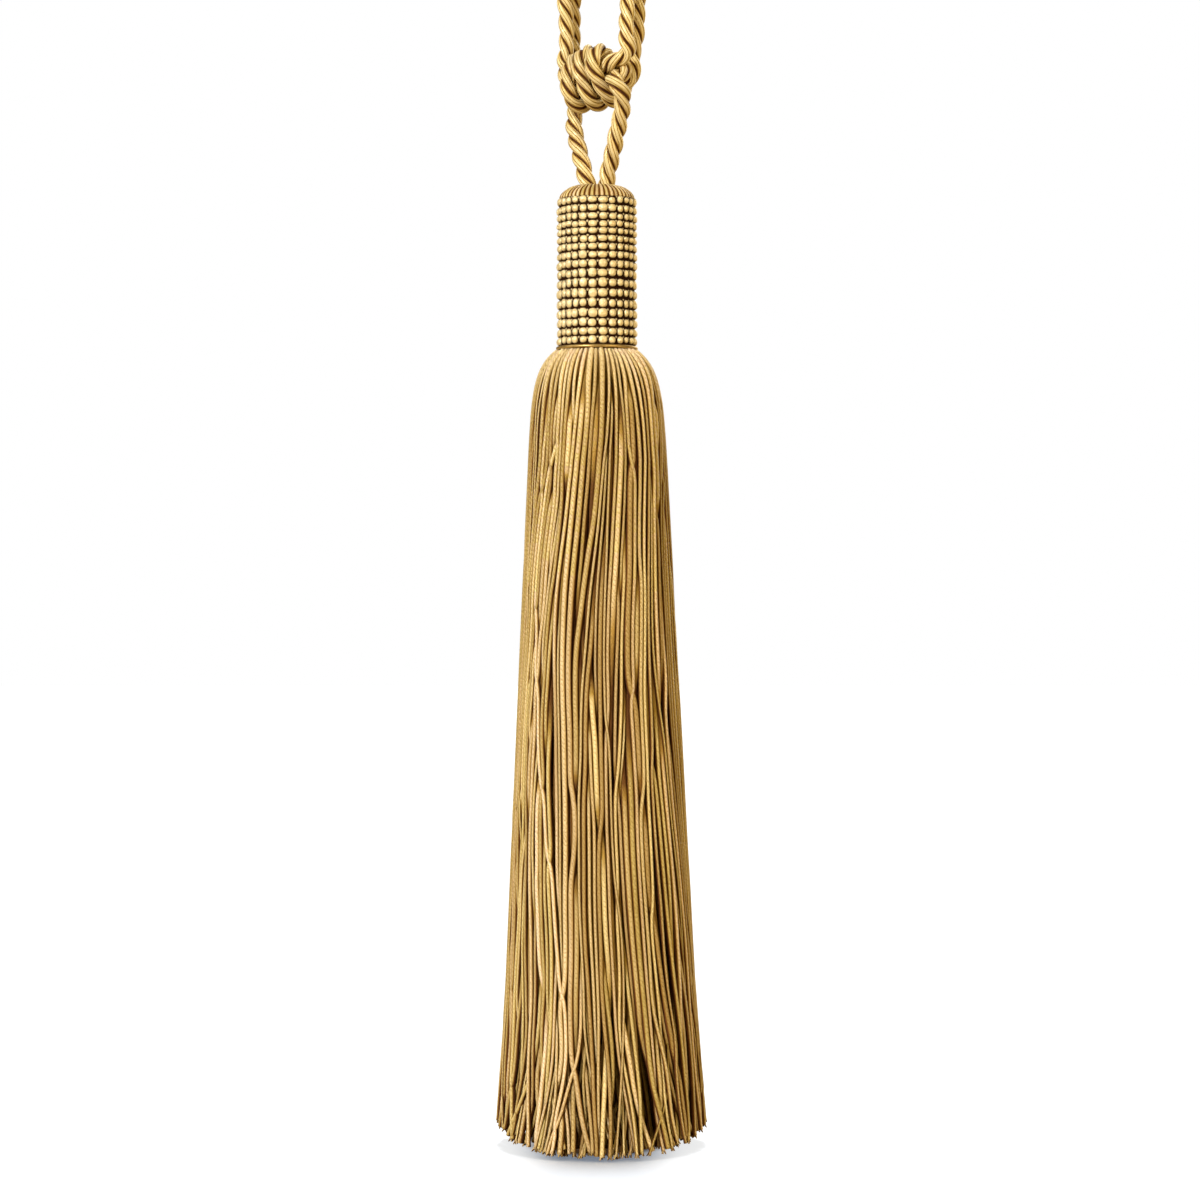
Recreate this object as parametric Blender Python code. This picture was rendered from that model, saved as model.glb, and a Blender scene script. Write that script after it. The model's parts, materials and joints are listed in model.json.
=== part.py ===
# Silk tassel hung on a doubled cord. Metres, +Z up, front towards -Y.
# The origin is the resting point inside the top of the hanging loop.
import bpy
import math
import numpy as np

MM = 0.001

# cords, in millimetres until they are swept
CORD_D = 5.8            # laid three-ply silk cord
KNOT_D = 5.35           # the same cord pulled tight in the knot
LAY = 19.0              # one full turn of the three plies
CLEAR = 0.37            # between neighbouring cords
SPACING = 1.2           # between the points that settle
TIGHTEST = 3.9          # radius of the sharpest bend the cord takes
ROPE_SIDES = 9          # a crest and two flanks for each ply
ROPE_FLANK = 0.80       # how far out the flanks lie, as a share of the crest
FINE_STEP = 0.3         # between the points that the cord's sections are picked from

# knot: its middle, how it turns towards the front and how it climbs
KNOT_MID = (-1.4, 0.5, -36.67)
KNOT_YAW = math.radians(30.0)
KNOT_CLIMB = math.radians(8.0)
WRAP_PITCH = 6.25
WRAP_START = -540
WRAP_STOP = 576
CORE_TURN = 45.0        # how far the two core cords roll over each other

# head
DOME_TOP = -73.8
SLEEVE_TOP = -77.9
SLEEVE_FOOT = -127.8
ROW_COUNT = 17
FIRST_ROW = -79.2
LAST_ROW = -126.4
ROW_SWELL = 0.15        # rows stand close near the top and wider apart lower down
ROW_TURN = 3.2          # the closest pair of rows, counted from the top
ROW_WAVE = 15.0
SLEEVE_CREST = 13.7
SLEEVE_VALLEY = 12.95
SLEEVE_BORE = 12.25
MOULD_R = 11.9
MOULD_FOOT = -129.15
RING_TOP = -128.15
RING_FOOT = -129.15
RING_R = 14.1
HEAD_SIDES = 26

# skirt
NECK_Z = -129.5
NECK_R = 14.2
BULGE = 7.5
BULGE_DROP = 6.2
FLARE = 0.049
SKIRT_LEN = 266.0
SKIRT_DRIFT = 1.4       # the skirt swings a little to the right
BACKING = 1.6
OUTER_ROWS = ((1.0, 0.85), (0.85, 0.70), (0.70, 0.55))
INNER_ROWS = ((0.51, 0.34), (0.34, 0.17))
OUTER_SECTORS = 52
INNER_SECTORS = 26
LOCK_GAP = 0.45
CUT_BACK = 1.5          # the longest even lock stops this much above the skirt's length
UNEVEN_CUT = 7.0        # between the longest and the shortest lock of the outer row
INNER_UNEVEN = 1.4      # inner rows differ this many times as much
LONG_EVERY = 13
LONG_LOCK = 4.0         # one lock in thirteen hangs this much lower
GOLDEN = 0.61803399


def clearScene():
    for item in list(bpy.data.objects):
        bpy.data.objects.remove(item, do_unlink=True)


def material(name, colour, roughness, metallic=0.0):
    made = bpy.data.materials.new(name)
    made.use_nodes = True
    shader = made.node_tree.nodes["Principled BSDF"]
    shader.inputs["Base Color"].default_value = (*colour, 1.0)
    shader.inputs["Roughness"].default_value = roughness
    shader.inputs["Metallic"].default_value = metallic
    return made


def addBody(name, points, faces, look):
    mesh = bpy.data.meshes.new(name)
    mesh.from_pydata([tuple(float(c) * MM for c in p) for p in points], [], faces)
    mesh.shade_smooth()
    mesh.set_sharp_from_angle(angle=math.radians(50))
    body = bpy.data.objects.new(name, mesh)
    body.data.materials.append(look)
    bpy.context.scene.collection.objects.link(body)
    return body


# ---- cord routes ----

cosY, sinY = math.cos(KNOT_YAW), math.sin(KNOT_YAW)
cosC, sinC = math.cos(KNOT_CLIMB), math.sin(KNOT_CLIMB)
MID = np.array(KNOT_MID)
ALONG = np.array([cosY * cosC, -sinY * cosC, sinC])
FRONT = np.array([-sinY, -cosY, 0.0])
UP = np.cross(FRONT, ALONG)


def inKnot(s, f, u):
    return MID + s * ALONG + f * FRONT + u * UP


def coreAngle(s):
    return math.radians(90.0 - CORE_TURN * max(-1.0, min(1.0, s / (1.9 * WRAP_PITCH))))


def corePoint(s, side):
    reach = side * (KNOT_D + CLEAR) / 2
    return inKnot(s, reach * math.cos(coreAngle(s)), reach * math.sin(coreAngle(s)))


def wrapPoint(turn):
    # one cord wound close round the two core cords
    angle = math.radians(-turn)
    s = WRAP_PITCH * turn / 360.0 + 1.2 * math.sin(angle)
    core = coreAngle(s)
    c, d = math.cos(angle - core), math.sin(angle - core)
    size = (KNOT_D + CLEAR) * (1.03 - 0.008 * s)
    x = size * (c + 0.5 * c / math.sqrt(c * c + 0.12))
    y = size * d
    return inKnot(s, x * math.cos(core) - y * math.sin(core), x * math.sin(core) + y * math.cos(core))


def curveThrough(points, step):
    p = np.array(points, float)
    p = np.vstack([2 * p[0] - p[1], p, 2 * p[-1] - p[-2]])
    t = np.r_[0, np.cumsum(np.maximum(np.linalg.norm(np.diff(p, axis=0), axis=1), 1e-6) ** 0.5)]
    pieces = []
    for i in range(1, len(p) - 2):
        count = max(2, int(np.linalg.norm(p[i + 1] - p[i]) / 0.15))
        at = np.linspace(t[i], t[i + 1], count, endpoint=False)[:, None]

        def blend(a, b, ta, tb):
            return ((tb - at) * a + (at - ta) * b) / (tb - ta)

        a1 = blend(p[i - 1], p[i], t[i - 1], t[i])
        a2 = blend(p[i], p[i + 1], t[i], t[i + 1])
        a3 = blend(p[i + 1], p[i + 2], t[i + 1], t[i + 2])
        b1 = blend(a1, a2, t[i - 1], t[i + 1])
        b2 = blend(a2, a3, t[i], t[i + 2])
        pieces.append(blend(b1, b2, t[i], t[i + 1]))
    fine = np.vstack(pieces + [p[-2][None]])
    run = np.r_[0, np.cumsum(np.linalg.norm(np.diff(fine, axis=0), axis=1))]
    even = np.linspace(0, run[-1], int(round(run[-1] / step)) + 1)
    return np.stack([np.interp(even, run, fine[:, k]) for k in range(3)], 1)


def cordWidth(points):
    far = np.clip((np.linalg.norm(points - MID, axis=-1) - 11.0) / 9.0, 0, 1)
    return KNOT_D + (CORD_D - KNOT_D) * far * far * (3 - 2 * far)


def soften(points, closed, amount):
    if closed:
        ring = points[:-1]
        ring = ring + amount * ((np.roll(ring, 1, 0) + np.roll(ring, -1, 0)) / 2 - ring)
        return np.vstack([ring, ring[:1]])
    out = points.copy()
    out[1:-1] += amount * ((points[:-2] + points[2:]) / 2 - points[1:-1])
    return out


def easeBends(points, closed, tightest):
    # a cord can't bend tighter than its own half width
    ahead = np.roll(points[:-1], -1, 0) if closed else points[2:]
    here = points[:-1] if closed else points[1:-1]
    behind = np.roll(points[:-1], 1, 0) if closed else points[:-2]
    pull = (ahead + behind) / 2 - here
    bend = 2 * np.linalg.norm(pull, axis=1) / SPACING ** 2
    extra = np.clip((bend * tightest - 1.0), 0, 1)[:, None] * 0.5 * pull
    out = points.copy()
    if closed:
        out[:-1] += extra
        out[-1] = out[0]
    else:
        out[1:-1] += extra
    return out


def settle(cords, holds, rounds=320):
    # neighbours push apart until the cords lie side by side
    counts = [len(c) for c in cords]
    edge = np.r_[0, np.cumsum(counts)]
    at = np.vstack(cords)
    home = at.copy()
    hold = np.concatenate(holds)
    free = 1 - np.minimum(hold, 1)
    owner = np.repeat(np.arange(len(cords)), counts)
    place = np.concatenate([np.arange(k) for k in counts])
    closed = [np.linalg.norm(c[0] - c[-1]) < 1.5 for c in cords]
    along = np.abs(place[:, None] - place[None]).astype(float)
    for k, ring in enumerate(closed):
        if ring:
            mine = np.ix_(owner == k, owner == k)
            along[mine] = np.minimum(along[mine], counts[k] - 1 - along[mine])
    own = (owner[:, None] == owner[None]) & (along * SPACING < 12)
    first, second = np.nonzero(np.triu(~own))
    for turn in range(rounds):
        if turn % 10 == 0:
            close = np.linalg.norm(at[first] - at[second], axis=1) < 9
            i, j = first[close], second[close]
        late = turn > rounds - 60
        width = cordWidth(at)
        apart = at[i] - at[j]
        length = np.linalg.norm(apart, axis=1)
        push = np.clip((width[i] + width[j]) / 2 + CLEAR + 0.1 - length, 0, None) * 0.4
        shove = apart / np.maximum(length, 1e-6)[:, None] * push[:, None]
        move = np.zeros_like(at)
        np.add.at(move, i, shove)
        np.add.at(move, j, -shove)
        size = np.linalg.norm(move, axis=1)
        at = at + move * (np.minimum(1, 0.5 / np.maximum(size, 1e-9)) * free)[:, None]
        tie = np.where(hold >= 1, 1.0, hold * (0.1 if late else 1.0))
        at = at + tie[:, None] * (home - at)
        for k in range(len(cords)):
            part = slice(edge[k], edge[k + 1])
            c = soften(soften(at[part], closed[k], 0.5), closed[k], -0.45)
            c = easeBends(c, closed[k], TIGHTEST)
            link = np.diff(c, axis=0)
            long = np.linalg.norm(link, axis=1)
            fix = link / long[:, None] * (long - SPACING)[:, None] * 0.25
            c[:-1] += fix
            c[1:] -= fix
            if closed[k]:
                c[0] = c[-1] = (c[0] + c[-1]) / 2
            at[part] = np.where(free[part, None] > 0, c, at[part])
    return [at[edge[k]:edge[k + 1]] for k in range(len(cords))]


def tasselCordStart():
    leftLeg = [(-3.2, 0, -72.6), (-4.0, 0, -69.9), (-5.4, 1.5, -63.8), (-7.3, 4.5, -56.1)]
    leftLeg += [(-8.1, 7.0, -49.7)]
    wraps = [wrapPoint(turn) for turn in np.linspace(WRAP_START, WRAP_STOP, 56)]
    tuck = [inKnot(9.3, -2.6, 5.2), inKnot(9.7, -0.2, 1.6), inKnot(10.3, 3.7, -2.6)]
    rightLeg = [(4.9, -13.6, -39.3), (7.7, -14.6, -41.4), (8.9, -12.4, -45.0), (8.4, -10.0, -49.2)]
    rightLeg += [(7.0, -6.5, -55.2), (5.0, -2.8, -63.9), (3.6, -0.3, -69.9), (3.1, 0, -72.6)]
    return curveThrough(leftLeg + wraps + tuck + rightLeg, SPACING)


def overTop(right, left, top):
    # half a turn from the right-hand cord over to the left-hand one
    span = []
    for k in range(9):
        angle = math.pi * k / 8
        middle, reach = (right[0] + left[0]) / 2, (right[0] - left[0]) / 2
        depth = right[1] + (left[1] - right[1]) * k / 8
        height = right[2] + (top - right[2]) * math.sin(angle)
        span.append((middle + reach * math.cos(angle), depth, height))
    return span


def innerLoopStart():
    core = [corePoint(s, 1) for s in (0, 2.5, 5)]
    rise = [inKnot(7.5, 3.2, 2.6), inKnot(10.6, 4.8, 2.8), inKnot(13.2, 5.0, 3.6)]
    rise += [(9.1, -12.0, -28.4), (9.5, -12.3, -25.2), (9.8, -11.8, -21.7), (10.2, -10.0, -14.0)]
    arch = overTop((10.9, -8.5, -8.0), (-8.3, 12.0, -8.0), 2.9)
    fall = [(-8.2, 13.6, -15.0), (-8.2, 14.3, -24.3), (-7.5, 12.5, -29.9), (-7.2, 11.0, -33.9)]
    back = [inKnot(-9.3, -4.4, 0.6)] + [corePoint(s, 1) for s in (-8, -5, -2.5, 0)]
    return curveThrough(core + rise + arch + fall + back, SPACING)


def outerLoopStart():
    core = [corePoint(s, -1) for s in (0, 2.5, 5)]
    rise = [inKnot(7.5, -2.8, -4.6), inKnot(9.6, -3.6, -5.8), inKnot(11.4, -4.6, -4.8)]
    rise += [inKnot(12.2, -5.4, -0.8), (12.4, -0.6, -31.0), (13.0, -1.4, -27.4), (13.5, -2.0, -23.7)]
    rise += [(13.8, -1.7, -14.0)]
    arch = overTop((14.2, -1.5, -5.0), (-10.9, 6.6, -5.0), 9.2)
    fall = [(-10.5, 7.6, -15.0), (-10.4, 8.0, -24.0), (-10.1, 7.2, -29.5), (-9.8, 6.8, -33.7)]
    back = [inKnot(-9.0, 0.6, -0.8)] + [corePoint(s, -1) for s in (-8, -5, -2.5, 0)]
    return curveThrough(core + rise + arch + fall + back, SPACING)


def legHold(c):
    low = c[:, 2] - MID[2]
    hold = np.where(low < -14, 0.1, 0.008)
    hold[:3] = hold[-3:] = 1
    return hold


def loopHold(c):
    high = c[:, 2] - MID[2]
    along = (c - MID) @ ALONG
    hold = np.where(high > 22, 0.12, np.where(high > 10, 0.04, 0.006))
    turning = (high <= 22) & ((along < -9) | (along > 11.5))
    hold[turning] = 0.08
    return hold


def cordRoutes():
    tassel, inner, outer = tasselCordStart(), innerLoopStart(), outerLoopStart()
    return settle([tassel, inner, outer], [legHold(tassel), loopHold(inner), loopHold(outer)])


def carriedFrames(route, closed):
    ahead = np.roll(route, -1, 0) - np.roll(route, 1, 0) if closed else np.gradient(route, axis=0)
    ahead /= np.linalg.norm(ahead, axis=1)[:, None]
    side = np.cross(ahead[0], [0.0, 1.0, 0.0])
    side /= np.linalg.norm(side)
    sides = [side]
    for k in range(1, len(route)):
        side = sides[-1] - ahead[k] * (sides[-1] @ ahead[k])
        sides.append(side / np.linalg.norm(side))
    return ahead, np.array(sides)


def bendSteps(route, closed):
    # shorter steps where the cord turns sharply
    fine = curveThrough(list(route), FINE_STEP)
    if closed:
        fine = fine[:-1]
    gap = 5
    before, after = np.roll(fine, gap, 0), np.roll(fine, -gap, 0)
    chord = np.linalg.norm((before + after) / 2 - fine, axis=1)
    tight = 2 * chord / (gap * FINE_STEP) ** 2
    if not closed:
        tight[:gap] = tight[-gap:] = 0
    want = np.clip(0.5 / np.maximum(tight, 1e-6), 1.3, 2.6)
    picked, reach = [0], 0.0
    for k in range(1, len(fine)):
        reach += FINE_STEP
        if reach >= want[k]:
            picked.append(k)
            reach = 0.0
    if closed and len(fine) - picked[-1] < 3:
        picked.pop()
    if not closed:
        if len(fine) - 1 - picked[-1] < 3:
            picked.pop()
        picked.append(len(fine) - 1)
    return fine, picked


def ropeBody(name, route, closed, look):
    fine, picked = bendSteps(route, closed)
    ahead, sides = carriedFrames(fine, closed)
    length = FINE_STEP * len(fine)
    # three plies, laid to the left
    spin = -2 * math.pi / LAY
    if closed:
        # whole plies meet at the join
        last = sides[-1] - ahead[0] * (sides[-1] @ ahead[0])
        drift = math.atan2(np.cross(sides[0], last) @ ahead[0], sides[0] @ last)
        third = 2 * math.pi / 3
        total = spin * length
        spin = (round((total + drift) / third) * third - drift) / length
    points, faces = [], []
    for k in picked:
        across = np.cross(ahead[k], sides[k])
        radius = float(cordWidth(fine[k])) / 2
        for n in range(ROPE_SIDES):
            angle = 2 * math.pi * n / ROPE_SIDES
            r = radius * (1.0 if n % 3 == 0 else ROPE_FLANK)
            turned = angle + spin * FINE_STEP * k
            points.append(fine[k] + r * (math.cos(turned) * sides[k] + math.sin(turned) * across))
    rings = len(picked)
    for k in range(rings if closed else rings - 1):
        nxt = (k + 1) % rings
        shift = 0
        if closed and nxt == 0:
            # the profile comes round by whole plies
            gaps = [np.linalg.norm(points[k * ROPE_SIDES] - points[m]) for m in (0, 3, 6)]
            shift = 3 * int(np.argmin(gaps))
        for n in range(ROPE_SIDES):
            m = (n + 1) % ROPE_SIDES
            here, there = k * ROPE_SIDES, nxt * ROPE_SIDES
            nextN, nextM = there + (n + shift) % ROPE_SIDES, there + (m + shift) % ROPE_SIDES
            faces.append((here + n, here + m, nextM, nextN))
    if not closed:
        faces.append(tuple(reversed(range(ROPE_SIDES))))
        faces.append(tuple((rings - 1) * ROPE_SIDES + n for n in range(ROPE_SIDES)))
    return addBody(name, points, faces, look)


# ---- head ----

def lathe(name, profile, look, closedProfile):
    # profile runs from the top down on the outside
    points, faces, rows = [], [], []
    sides = HEAD_SIDES
    for r, z in profile:
        if r < 1e-6:
            rows.append([len(points)])
            points.append((0, 0, z))
            continue
        rows.append(list(range(len(points), len(points) + sides)))
        for n in range(sides):
            a = 2 * math.pi * n / sides
            points.append((r * math.cos(a), r * math.sin(a), z))
    pairs = list(zip(rows, rows[1:]))
    if closedProfile:
        pairs.append((rows[-1], rows[0]))
    for upper, lower in pairs:
        for n in range(sides):
            m = (n + 1) % sides
            if len(upper) == 1:
                faces.append((upper[0], lower[n], lower[m]))
            elif len(lower) == 1:
                faces.append((upper[n], lower[0], upper[m]))
            else:
                faces.append((upper[n], lower[n], lower[m], upper[m]))
    return addBody(name, points, faces, look)


def rowHeights():
    gap = np.arange(ROW_COUNT - 1)
    share = 1 - ROW_SWELL * np.cos(2 * math.pi * (gap - ROW_TURN) / ROW_WAVE)
    down = np.r_[0, np.cumsum(share)] / share.sum()
    return FIRST_ROW + (LAST_ROW - FIRST_ROW) * down


def sleeveProfile():
    rows = rowHeights()
    outside = [(SLEEVE_VALLEY, SLEEVE_TOP)]
    for k, z in enumerate(rows):
        outside.append((SLEEVE_CREST, z))
        if k < len(rows) - 1:
            outside.append((SLEEVE_VALLEY, (z + rows[k + 1]) / 2))
    outside.append((SLEEVE_VALLEY, SLEEVE_FOOT))
    return outside + [(SLEEVE_BORE, SLEEVE_FOOT), (SLEEVE_BORE, SLEEVE_TOP)]


def mouldProfile():
    # radius and depth below the top of each ring of the dome
    dome = [(0.0, 0.0), (6.3, 0.05), (9.6, 0.7), (12.0, 2.1), (12.9, 3.3), (12.6, 3.8), (MOULD_R, 3.8)]
    return [(r, DOME_TOP - depth) for r, depth in dome] + [(MOULD_R, MOULD_FOOT), (0.0, MOULD_FOOT)]


def ringProfile():
    inside = MOULD_R + 0.35
    middle = (RING_TOP + RING_FOOT) / 2
    edge = RING_R - 0.35
    outside = [(edge, RING_TOP), (RING_R, middle), (edge, RING_FOOT)]
    return [(inside, RING_TOP)] + outside + [(inside, RING_FOOT)]


# ---- skirt ----

def skirtRadius(drop):
    return NECK_R + BULGE * (1 - math.exp(-drop / BULGE_DROP)) + FLARE * drop


def skirtPoint(rho, theta, drop):
    r = rho * skirtRadius(drop)
    swing = SKIRT_DRIFT * drop / SKIRT_LEN
    return (r * math.cos(theta) + swing, r * math.sin(theta), NECK_Z - BACKING - drop)


def skirtBody(look):
    points, faces = [], []

    def ringOf(rho, sectors, z):
        start = len(points)
        for n in range(sectors):
            a = 2 * math.pi * n / sectors
            points.append((rho * NECK_R * math.cos(a), rho * NECK_R * math.sin(a), z))
        return [start + n for n in range(sectors)]

    def lock(frame, row, sector, sectors, drops, number):
        # the frame round a root stays in the backing, the lock runs down from it
        outer, inner = row
        width = 2 * math.pi / sectors
        uneven = UNEVEN_CUT * (1.0 if outer > 0.9 else INNER_UNEVEN)
        length = SKIRT_LEN - CUT_BACK - uneven * ((number * GOLDEN) % 1.0)
        if number % LONG_EVERY == 5:
            length += LONG_LOCK
        loops = []
        for step, share in enumerate(drops):
            drop = 0.0 if step == 0 else (share if share > 1 else share * length)
            here = skirtRadius(drop)
            padR = LOCK_GAP / 2 / here
            padA = LOCK_GAP / 2 / (here * inner)
            edges = (outer - padR * (0 if outer > 0.9 and step else 1), inner + padR)
            a0, a1 = sector * width + padA, (sector + 1) * width - padA
            loop = []
            for rho, a in ((edges[0], a0), (edges[0], a1), (edges[1], a1), (edges[1], a0)):
                loop.append(len(points))
                points.append(skirtPoint(rho, a, drop))
            loops.append(loop)
        for k in range(4):
            m = (k + 1) % 4
            faces.append((frame[m], frame[k], loops[0][k], loops[0][m]))
        for above, below in zip(loops, loops[1:]):
            for k in range(4):
                m = (k + 1) % 4
                faces.append((above[m], above[k], below[k], below[m]))
        faces.append(tuple(reversed(loops[-1])))

    low = NECK_Z - BACKING
    top = ringOf(1.0, OUTER_SECTORS, NECK_Z)
    faces.append(tuple(top))
    edge = ringOf(OUTER_ROWS[0][0], OUTER_SECTORS, low)
    for n in range(OUTER_SECTORS):
        m = (n + 1) % OUTER_SECTORS
        faces.append((top[n], edge[n], edge[m], top[m]))
    number = 0
    # how far down each row's sections lie: millimetres over one, else a share of the length
    inside = (0, 7.0, 0.4, 1.0)
    steps = ((0, 2.4, 6.0, 14.0, 0.3, 0.65, 1.0), (0, 3.0, 9.0, 0.3, 1.0), inside, inside, inside)
    rings = [edge]
    for k, row in enumerate(OUTER_ROWS):
        inner = ringOf(row[1], OUTER_SECTORS, low)
        for n in range(OUTER_SECTORS):
            m = (n + 1) % OUTER_SECTORS
            frame = (rings[-1][n], rings[-1][m], inner[m], inner[n])
            lock(frame, row, n, OUTER_SECTORS, steps[k], number)
            number += 1
        rings.append(inner)
    core = ringOf(INNER_ROWS[0][0], INNER_SECTORS, low)
    for n in range(INNER_SECTORS):
        m = (n + 1) % INNER_SECTORS
        a, b, c = rings[-1][2 * n], rings[-1][2 * n + 1], rings[-1][(2 * n + 2) % OUTER_SECTORS]
        faces.append((core[n], core[m], c, b, a))
    rings.append(core)
    for k, row in enumerate(INNER_ROWS):
        inner = ringOf(row[1], INNER_SECTORS, low)
        for n in range(INNER_SECTORS):
            m = (n + 1) % INNER_SECTORS
            frame = (rings[-1][n], rings[-1][m], inner[m], inner[n])
            lock(frame, row, n, INNER_SECTORS, steps[3 + k], number)
            number += 1
        rings.append(inner)
    faces.append(tuple(reversed(rings[-1])))
    return addBody("skirt", points, faces, look)


def build():
    clearScene()
    cordLook = material("tassel_cord_silk", (0.62, 0.40, 0.12), 0.45)
    innerLook = material("inner_cord_silk", (0.62, 0.40, 0.12), 0.45)
    outerLook = material("outer_cord_silk", (0.60, 0.38, 0.11), 0.45)
    tassel, inner, outer = cordRoutes()
    ropeBody("tassel_cord", tassel, False, cordLook)
    ropeBody("embrace_cord_inner", inner, True, innerLook)
    ropeBody("embrace_cord_outer", outer, True, outerLook)
    mouldLook = material("mould_silk", (0.66, 0.44, 0.15), 0.4)
    beadLook = material("bead_gold", (0.72, 0.50, 0.20), 0.35, 0.3)
    ringLook = material("ring_gold", (0.72, 0.50, 0.20), 0.3, 0.4)
    lathe("head_mould", mouldProfile(), mouldLook, False)
    lathe("bead_sleeve", sleeveProfile(), beadLook, True)
    lathe("neck_ring", ringProfile(), ringLook, True)
    skirtBody(material("skirt_silk", (0.55, 0.36, 0.12), 0.5))


build()
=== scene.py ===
# Silk tassel with a beaded head, hung from its knotted three-ply cord.
# Sizes are in millimetres until a piece is made, then times mm. +Z up, front towards -Y.
import json
import math

import bpy
import numpy as np
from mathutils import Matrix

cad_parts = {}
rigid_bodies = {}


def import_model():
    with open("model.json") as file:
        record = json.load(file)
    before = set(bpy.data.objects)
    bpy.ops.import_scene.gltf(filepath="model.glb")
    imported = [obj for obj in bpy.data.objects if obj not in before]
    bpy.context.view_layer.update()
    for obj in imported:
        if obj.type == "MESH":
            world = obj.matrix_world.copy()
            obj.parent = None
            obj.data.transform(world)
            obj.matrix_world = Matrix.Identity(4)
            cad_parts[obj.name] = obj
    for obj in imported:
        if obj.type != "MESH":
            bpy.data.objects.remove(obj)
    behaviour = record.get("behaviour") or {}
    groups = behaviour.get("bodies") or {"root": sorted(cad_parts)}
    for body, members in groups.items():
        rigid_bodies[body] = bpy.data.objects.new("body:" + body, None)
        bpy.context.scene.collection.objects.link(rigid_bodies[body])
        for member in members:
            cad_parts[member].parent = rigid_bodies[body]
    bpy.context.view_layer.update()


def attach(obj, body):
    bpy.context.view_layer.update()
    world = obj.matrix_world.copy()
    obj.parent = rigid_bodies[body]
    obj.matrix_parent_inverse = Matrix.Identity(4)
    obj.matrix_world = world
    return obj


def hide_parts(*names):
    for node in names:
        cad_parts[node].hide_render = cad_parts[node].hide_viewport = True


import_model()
mm = 0.001
fullTurn = 2 * math.pi


def say(stage):
    print("tassel:", stage)


def eased(share):
    # from 0 to 1 with a soft start and a soft end
    return share * share * (3 - 2 * share)


def ramp(value, start, length, most=1.0):
    # from 0 at the start up to the most
    return np.clip((value - start) / length, 0, most)


def putInScene(name, data):
    made = bpy.data.objects.new(name, data)
    bpy.context.scene.collection.objects.link(made)
    return made


def standFor(piece, node):
    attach(piece, "root")
    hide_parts(node)


cameraAt = {"place": (0.00102, -1.13333, -0.21403), "lens": 100.0, "sensor": 36.0, "near": 0.05, "far": 60.0}


def placeCamera():
    data = bpy.data.cameras.new("camera")
    data.lens = cameraAt["lens"]
    data.sensor_width = cameraAt["sensor"]
    data.clip_start = cameraAt["near"]
    data.clip_end = cameraAt["far"]
    camera = putInScene("camera", data)
    camera.location = cameraAt["place"]
    camera.rotation_euler = (math.pi / 2, 0, 0)
    bpy.context.scene.camera = camera


# helpers for node trees

def addNode(tree, kind, **values):
    node = tree.nodes.new(kind)
    for name, value in values.items():
        setattr(node, name, value)
    return node


def feed(tree, socket, value):
    # a socket takes another socket or a plain value
    if isinstance(value, bpy.types.NodeSocket):
        tree.links.new(value, socket)
    elif value is not None:
        socket.default_value = value


def step(tree, kind, output, takes, **values):
    # the inputs are fed by name or number, and the wanted output comes back
    node = addNode(tree, kind, **values)
    for label, value in takes.items():
        feed(tree, node.inputs[label], value)
    return node.outputs[output]


def sums(tree, operation, *values):
    return step(tree, "ShaderNodeMath", 0, dict(enumerate(values)), operation=operation)


def vectorSums(tree, operation, *values):
    takes = dict(zip((0, "Scale" if operation == "SCALE" else 1), values))
    output = "Value" if operation in ("LENGTH", "DOT_PRODUCT") else "Vector"
    return step(tree, "ShaderNodeVectorMath", output, takes, operation=operation)


def blendColour(tree, amount, first, second, mode="MIX"):
    takes = {"Factor": amount, "A": first, "B": second}
    return step(tree, "ShaderNodeMix", "Result", takes, data_type="RGBA", blend_type=mode)


def combine(tree, x, y, z):
    return step(tree, "ShaderNodeCombineXYZ", 0, {0: x, 1: y, 2: z})


def separate(tree, vector):
    node = addNode(tree, "ShaderNodeSeparateXYZ")
    feed(tree, node.inputs[0], vector)
    return node.outputs


def remap(tree, value, low, high, toLow=0.0, toHigh=1.0, smooth=False):
    takes = {"Value": value, "From Min": low, "From Max": high, "To Min": toLow, "To Max": toHigh}
    kind = "SMOOTHSTEP" if smooth else "LINEAR"
    return step(tree, "ShaderNodeMapRange", "Result", takes, clamp=True, interpolation_type=kind)


def cloud(tree, vector, scale, roughness=0.5):
    takes = {"Vector": vector, "Scale": scale, "Detail": 3.0, "Roughness": roughness}
    return step(tree, "ShaderNodeTexNoise", "Fac", takes)


def attribute(tree, name):
    return step(tree, "ShaderNodeAttribute", "Fac", {}, attribute_name=name)


def objectPlace(tree):
    return step(tree, "ShaderNodeTexCoord", "Object", {})


def named(tree, label, kind="FLOAT"):
    return step(tree, "GeometryNodeInputNamedAttribute", "Attribute", {"Name": label}, data_type=kind)


def pointPlace(tree):
    return step(tree, "GeometryNodeInputPosition", 0, {})


def newGroup(name, kind, takes, gives):
    tree = bpy.data.node_groups.new(name, kind)
    for label, socket, start in takes:
        made = tree.interface.new_socket(label, in_out="INPUT", socket_type="NodeSocket" + socket)
        if start is not None:
            made.default_value = start
    for label, socket in gives:
        tree.interface.new_socket(label, in_out="OUTPUT", socket_type="NodeSocket" + socket)
    return tree, tree.nodes.new("NodeGroupInput").outputs, tree.nodes.new("NodeGroupOutput").inputs


# three effects that the materials share

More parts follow.
